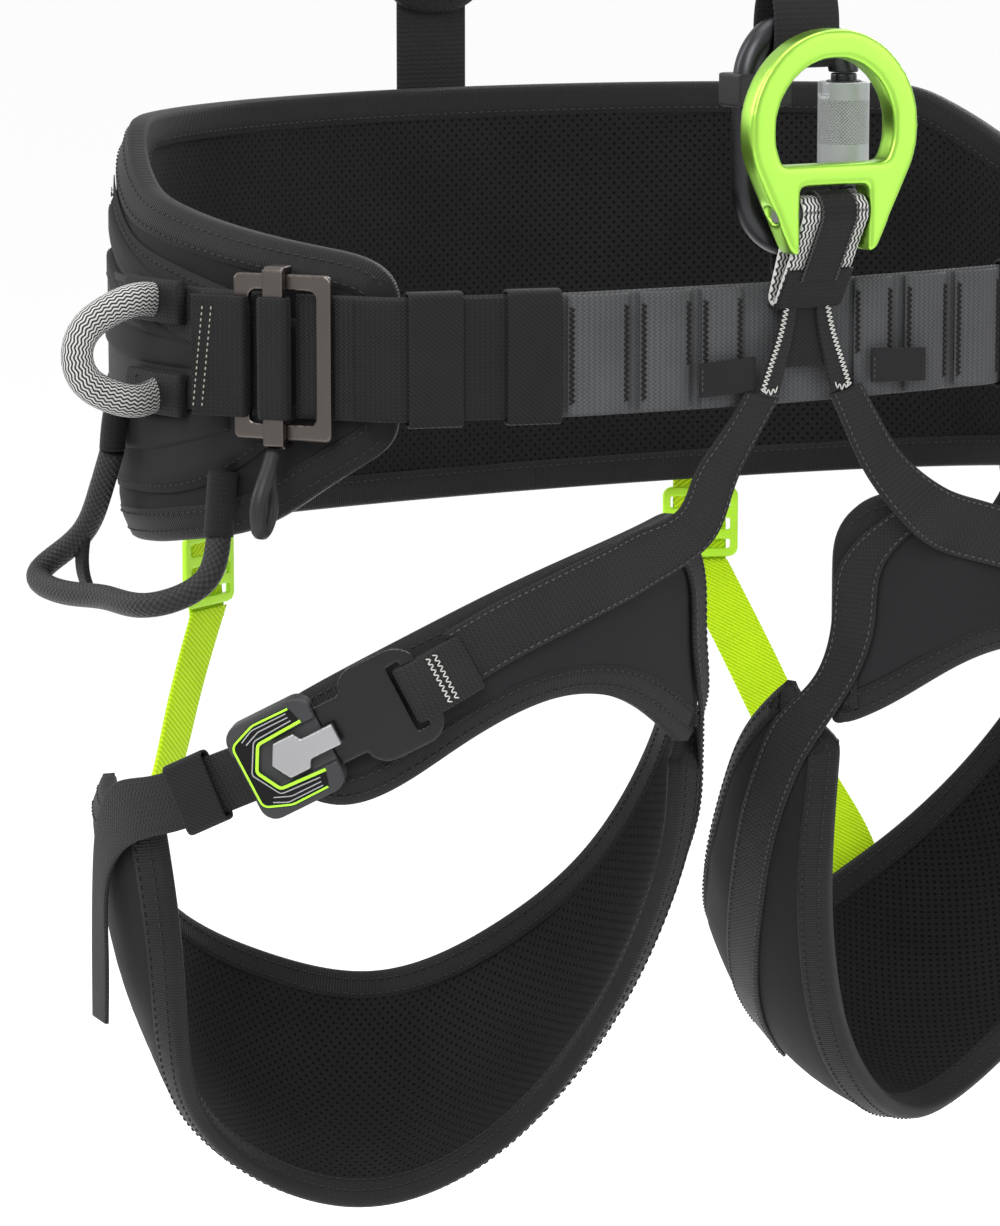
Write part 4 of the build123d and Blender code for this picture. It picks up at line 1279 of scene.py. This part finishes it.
def leg_padding(word, side):
    body = f"{word}_leg"
    grid, normal = placed(*hammock_grid(), side)
    cushion(f"{word}_leg_foam", grid, normal, LEG_PAD, HAMMOCK_SLOPE, 0.8, 2.0,
            body, PAD_CLOTH, "pad_fabric", f"{word}_leg_pad")
    lining = panel(f"{word}_leg_mesh", grid, normal, 0.0, LEG_LINING, LEG_MESH_SLOPE, 0.8, 7.0)
    own(lining, body, MESH, "mesh_lining", f"{word}_leg_lining")
    rim = rim_of(grid, normal)
    own(binding(f"{word}_leg_tape", rim, LEG_PAD, LEG_LINING, HAMMOCK_SLOPE, LEG_TAPE), body, TAPE, "binding")
    runs = []
    for depth in LEG_SEAMS:
        runs.append(rim_stitches(rim, depth, LEG_PAD, HAMMOCK_SLOPE))
        runs.append(rim_stitches(rim, depth, LEG_LINING, HAMMOCK_SLOPE, -1))
    grid, normal = placed(*front_grid(), side)
    cushion(f"{word}_front_foam", grid, normal, LEG_PAD, FRONT_SLOPE, 0.7, 4.0,
            body, SOFTSHELL, "softshell", f"{word}_front_leg_pad")
    rim = rim_of(grid, normal)
    own(binding(f"{word}_front_tape", rim, LEG_PAD, 0.2, FRONT_SLOPE, LEG_TAPE), body, TAPE, "binding")
    runs += [rim_stitches(rim, depth, LEG_PAD, FRONT_SLOPE) for depth in LEG_SEAMS]
    sew(f"{word}_leg_stitches", runs, THREAD_DARK, 0.32, body, "binding")


RISER_FREE = [((125.7, -37.7, -20), (139, -32, -23)), ((117, -41, -34), (131, -34, -37)),
              ((107, -45, -48), (122.5, -38, -54)), ((98, -59, -61), (113, -49, -73))]
RISER_SEWN = [(88, -76.5, 27), (78, -80.5, 26), (67, -84.6, 25), (53, -90.2, 24), (36, -97.5, 25), (17, -108, 26)]
THIGH_PATH = [(-33, -68), (-25, -78), (-18.5, -92), (-17, -112), (-13, -134)]
STRAP_PATH = [(-56, -149, 27), (-72, -157, 26), (-88, -165, 24), (-101, -171, 22)]
TAIL_PATH = [(-162, -198), (-163.5, -225), (-164, -254)]
FOLD_PATH = [(52, -4.0), (45, 1.2), (38, 6.3), (32, 8.2), (28.6, 7.0), (27.6, 5.2), (28.6, 3.2), (32, 2.0),
             (38, 1.0), (45, -2.4), (52, -5.8)]
LOOP_CENTRE = (0, 0, -110)


def edge_stitches(a, b, hint):
    """Running stitches just inside both edges of a ribbon, on the side that hint points to."""
    across = unit(b - a)
    n = unit(np.cross(unit(np.gradient((a + b) / 2, axis=0)), across))
    if np.mean(np.sum(n * hint, 1)) <= 0:
        n = -n
    return [running(edge + n, n, 2.8, 1.9, 0.05) for edge in (a + across * 1.6, b - across * 1.6)]


def leg_axes(x, z, rise, extra, gap):
    """Origin, along, up and out of a part laid on the front of the loop at a slant."""
    y = leg_outside(x, extra)
    out = ellipse_out(x, y, LEG_OUT_A, LEG_OUT_B)
    level = np.array([-out[1], out[0], 0])
    along = level * cos(radians(rise)) + np.array([0, 0, sin(radians(rise))])
    return np.array([x, y, z]) + out * gap, along, np.cross(out, along), out


BUCKLE_AXES = leg_axes(-24, -132, 27.5, 0, 0.8)
KEEPER_AXES = leg_axes(-75, -158.5, 26, 3.4, 0)


def on_buckle(points, side):
    return on_leg(local(points, BUCKLE_AXES), side)


def thigh_edges():
    """Edges of the inner riser: down the pad, then along the outside of the scoop."""
    rear, front = wrap_edges(THIGH_PATH, 5, 1.9)
    grid, normal = hammock_grid()
    outside = grid + normal * (LEG_PAD + 0.9)
    for share in (0.06, 0.10, 0.15, 0.21, 0.28, 0.36, 0.44):
        row = outside[int(share * len(grid))]
        s = arc(row)
        for line, reach in ((front, -9.6), (rear, 9.6)):
            line.append(tuple(np.interp(s[-1] * 0.5 + reach, s, row[:, k]) for k in range(3)))
    return rear, front


def leg_webbing(word, side):
    body = f"{word}_leg"
    centre = on_leg([LOOP_CENTRE], side)[0]
    upper, lower = leg_edges(RISER_SEWN, LEG_WEB, 2.2)
    a = on_leg(spline([p for p, q in RISER_FREE] + upper, 130), side)
    b = on_leg(spline([q for p, q in RISER_FREE] + lower, 130), side)
    web(f"{word}_riser_web", a, b, 1.7, WEBBING, f"{word}_leg_riser", body=body)
    runs = edge_stitches(a, b, (a + b) / 2 - centre)
    a, b = (on_leg(spline(edge, 150), side) for edge in thigh_edges())
    web(f"{word}_thigh_web", a, b, 1.7, WEBBING, body=body)
    runs += edge_stitches(a, b, (a + b) / 2 - centre)
    upper, lower = leg_edges(STRAP_PATH, LEG_WEB - 1, 2.5)
    rear, front = wrap_edges(TAIL_PATH, 4.6, 1.8)
    a, b = (on_leg(spline(edge, 130), side) for edge in (lower + front, upper + rear))
    web(f"{word}_strap_web", a, b, 1.7, WEBBING, f"{word}_leg_strap", body=body)
    sew(f"{word}_riser_stitches", runs, THREAD_GREY, body=body)
    mid = spline([(x, 0, z) for x, z in FOLD_PATH], 60)
    low, high = (on_buckle(mid + [0, half, 0], side) for half in (-10.6, 10.6))
    web(f"{word}_riser_fold", low, high, 1.6, WEBBING, body=body)
    origin, out, slant = on_buckle([(0, 0, 0), (0, 0, 1), (1, 0, -0.7)], side)
    runs = []
    for x, z in ((40.5, 5.6), (43.0, 4.0)):
        line = on_buckle([(x, y, z) for y in np.linspace(-9, 9, 12)], side)
        runs.append(zigzag(line, unit(out - origin), slant - origin, 2.0, 0.95))
    sew(f"{word}_fold_tack", runs, THREAD_LIGHT, 0.26, body)
    middle, along, up, out = KEEPER_AXES
    origin, *ends = on_leg([middle, middle + along, middle + out, middle + up], side)
    band_round(f"{word}_leg_band", origin, *(end - origin for end in ends), 18, LEG_WEB + 2.6, 4.0, 1.2,
               ELASTIC, f"{word}_leg_keeper", body=f"{word}_leg_keeper", slot="elastic")


LEG_HARDWARE = [     # piece, CAD node, voxel, smoothing passes, body, look, slot
    ("buckle_case", "leg_buckle_body", 0.5, 9, "leg", BUCKLE_GREY, "black_plastic"),
    ("buckle_plate", "leg_buckle_frame", 0.45, 4, "leg", BLACK_PAINT, "black_painted"),
    ("buckle_latch", "leg_buckle_latch", 0.4, 3, "latch", STEEL, "steel"),
]
FACE_OUTER = [(-11.5, 16.2), (-26, 16.4), (-36.2, 12.5), (-36.2, -12.5), (-26, -16.4), (-11.5, -16.2)]
FACE_NOTCH = [(-9.5, -9.2), (-27.2, -8.4), (-32.2, 0), (-27.2, 8.4), (-9.5, 9.2)]
FACE_RADII = [2, 6, 3, 3, 6, 2, 0.8, 2, 1, 2, 0.8]
FACE_LOW, FACE_HIGH, TRIM_HEIGHT = 10.7, 11.3, 11.2
TRIM = [     # piece, outline, corner radii, line radius, look, slot
    ("lime_edge", [(x * 0.985 - 0.3, y * 0.965) for x, y in FACE_OUTER], [6, 3, 3, 6],
     0.42, LIME_TRIM, "green_plastic"),
    ("lime_notch", [(x, y * 1.06) for x, y in FACE_NOTCH], [2, 1.5, 2], 0.62, LIME_TRIM, "green_plastic"),
    ("grey_line", [(-12.5, -11.4), (-28.0, -10.6), (-34.2, 0), (-28.0, 10.6), (-12.5, 11.4)], [2, 1.5, 2],
     0.26, GREY_TRIM, "black_plastic"),
]
for K, SIGN in enumerate((1, -1)):
    for J, Y in enumerate((12.9, 14.4)):
        CORNER = [(-13, Y * SIGN), (-25 - J * 2, Y * SIGN), (-31.0 - J, (Y - 2.4) * SIGN)]
        TRIM.append((f"grey_corner_{K + 1}_{J + 1}", CORNER, [4], 0.26, GREY_TRIM, "black_plastic"))


def leg_hardware(word, side):
    for piece, node, voxel, passes, part, look, slot in LEG_HARDWARE:
        softened(f"{word}_{piece}", f"{word}_{node}", voxel, passes, f"{word}_{part}", look, slot)
    body = f"{word}_leg"
    flat = rounded(FACE_OUTER + FACE_NOTCH, FACE_RADII, 0.8, closed=True)
    low, high = (on_buckle(at_height(flat, z), side) for z in (FACE_LOW, FACE_HIGH))
    face = rings(f"{word}_buckle_face", [low, high], np.zeros((2 * len(flat), 2)), smooth=False)
    own(face, body, BUCKLE_FACE, "black_plastic")
    for piece, outline, radii, radius, look, slot in TRIM:
        path = resample(at_height(rounded(outline, radii, 0.8), TRIM_HEIGHT), 60)
        own(tube(f"{word}_{piece}", on_buckle(path, side), radius, 8), body, look, slot)


# ---- rear risers --------------------------------------------------------
RISER_HALF = 24 / 2 - 0.3
RISER_TOP = {"right": (-119.4, 116.9, -100), "left": (114.4, 119.4, -100)}
RISER_KNEE = {"right": (-189.3, 46.3, -223.7), "left": (150.1, 53.3, -251.9)}
RISER_FOOT = {"right": (-186.7, 42.7, -236.5), "left": (149.1, 48.3, -263.7)}
RISER_ACROSS = {"right": (-0.785, -0.62, 0), "left": (-0.983, 0.187, 0)}
RISER_AWAY = {"right": (-0.6, 0.76, -0.25), "left": (0.18, 0.9, -0.4)}      # square to the pad at the foot
LADDER_WRAP = [(-34, 0.9), (-28, 1.3), (-22, 2.0), (-14, 2.7), (-5, 2.4), (-3.5, 0)]


def green(name, mid, half, thickness, body, *nodes):
    """Green elastic of a given half width along a middle line."""
    return own(ribbon(name, mid - half, mid + half, thickness), body, GREEN_ELASTIC, "green_elastic", *nodes)


def rear_risers():
    """Elastic from the hip pad's tabs down to each leg loop, laid on the pad at its foot."""
    for word, _ in SIDES:
        leg = f"{word}_leg"
        top, knee, foot = (np.array(spot[word], float) for spot in (RISER_TOP, RISER_KNEE, RISER_FOOT))
        across, away = unit(RISER_ACROSS[word]), unit(RISER_AWAY[word])
        out = ellipse_out(top[0], top[1], SHELL_A, SHELL_B)
        level = np.array([-out[1], out[0], 0])
        head = top - [0, 0, 29.5]
        mid = spline([head, head + (knee - head) * 0.35, head + (knee - head) * 0.7, knee, foot], 80)
        turn = np.clip((head[2] - mid[:, 2]) / (head[2] - knee[2]), 0, 1)[:, None]
        half = (level * (1 - turn) + across * turn) * RISER_HALF
        riser = green(f"{word}_elastic_riser", mid, half, 1.8, None, f"{word}_rear_riser")
        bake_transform(riser)
        softened(f"{word}_ladder_lock", f"{word}_riser_adjuster", 0.5, 4,
                 "saddle", GREEN_PLASTIC, "green_plastic")
        half, end = half[-8:] * 1.14, mid[-8:] + away * 1.7
        web(f"{word}_riser_patch", end - half, end + half, 1.3, WEBBING_DARK, body=leg)
        runs = [running(end + half * k * 0.86 + away * 0.7, away, 2.6, 1.8, 0.0) for k in (-1.0, 1.0)]
        sew(f"{word}_patch_stitches", runs, THREAD_GREY, body=leg)
        half = level * RISER_HALF
        line = top + np.linspace((0, 0, -7), (0, 0, 22), 20)
        green(f"{word}_riser_tab", line, half, 2.0, "saddle", "riser_tabs")
        path = spline([top + out * w + np.array([0, 0, h]) for h, w in LADDER_WRAP], 24)
        green(f"{word}_ladder_web", path, half * 0.96, 1.4, "saddle")


# ---- everything ---------------------------------------------------------
hip_pad()
hip_covers()
belt()
tool_slots()
tails()
keepers()
buckles()
lateral()
gear_loops()
straps()
sling()
labels()
tie()
hardware()
for WORD, SIDE in SIDES:
    leg_padding(WORD, SIDE)
    leg_webbing(WORD, SIDE)
    leg_hardware(WORD, SIDE)
rear_risers()


# ---- stage, lights and camera -------------------------------------------
FLOOR_Z = -760
FLOOR_PLAN = [(-40000, -40000), (40000, -40000), (40000, 60000), (-40000, 60000)]
CENTRE = (0, -0.02, -0.12)
LIGHTS = [     # name, place, size, power
    ("key", (-1.5, -1.3, 1.2), (1.0, 1.4), 40),
    ("fill", (1.3, -1.7, 0.4), (1.2, 1.2), 9),
    ("rim_left", (-1.3, 1.0, 0.9), (0.5, 1.4), 16),
    ("rim_right", (1.5, 0.9, 0.8), (0.5, 1.4), 16),
    ("top", (0, -0.1, 1.6), (1.4, 1.0), 20),
]
LENS, SENSOR = 149.76, 36
CAMERA_AIM = (-0.0392, 0.02265, -0.124)
CAMERA_FROM, CAMERA_DISTANCE = (-0.4924, -0.8529, 0.17365), 2.0


def stage():
    floor = build("floor", [(x, y, FLOOR_Z) for x, y in FLOOR_PLAN], [(0, 1, 2, 3)], smooth=False)
    look = Look("floor_paint", (0.97, 0.97, 0.97), 1.0, specular=0.0)
    floor.data.materials.append(look.mat)
    world = bpy.data.worlds.new("studio")
    bpy.context.scene.world = world
    world.use_nodes = True
    world.node_tree.nodes["Background"].inputs[0].default_value = (1, 1, 1, 1)
    world.node_tree.nodes["Background"].inputs[1].default_value = 1.0
    bpy.context.scene.view_settings.view_transform = "Standard"


def turn_to(obj, place, aim):
    """Set an object down at a place, facing the aim."""
    obj.location = place
    obj.rotation_euler = (Vector(aim) - Vector(place)).to_track_quat("-Z", "Y").to_euler()


def softbox(name, place, size, power):
    data = bpy.data.lights.new(name, "AREA")
    data.shape = "RECTANGLE"
    data.size, data.size_y = size
    data.energy = power
    lamp = bpy.data.objects.new(name, data)
    bpy.context.scene.collection.objects.link(lamp)
    turn_to(lamp, place, CENTRE)


def camera():
    data = bpy.data.cameras.new("camera")
    data.lens = LENS
    data.sensor_width = SENSOR
    cam = bpy.data.objects.new("camera", data)
    bpy.context.scene.collection.objects.link(cam)
    turn_to(cam, Vector(CAMERA_AIM) + Vector(CAMERA_FROM) * CAMERA_DISTANCE, CAMERA_AIM)
    bpy.context.scene.camera = cam


stage()
for LIGHT in LIGHTS:
    softbox(*LIGHT)
camera()
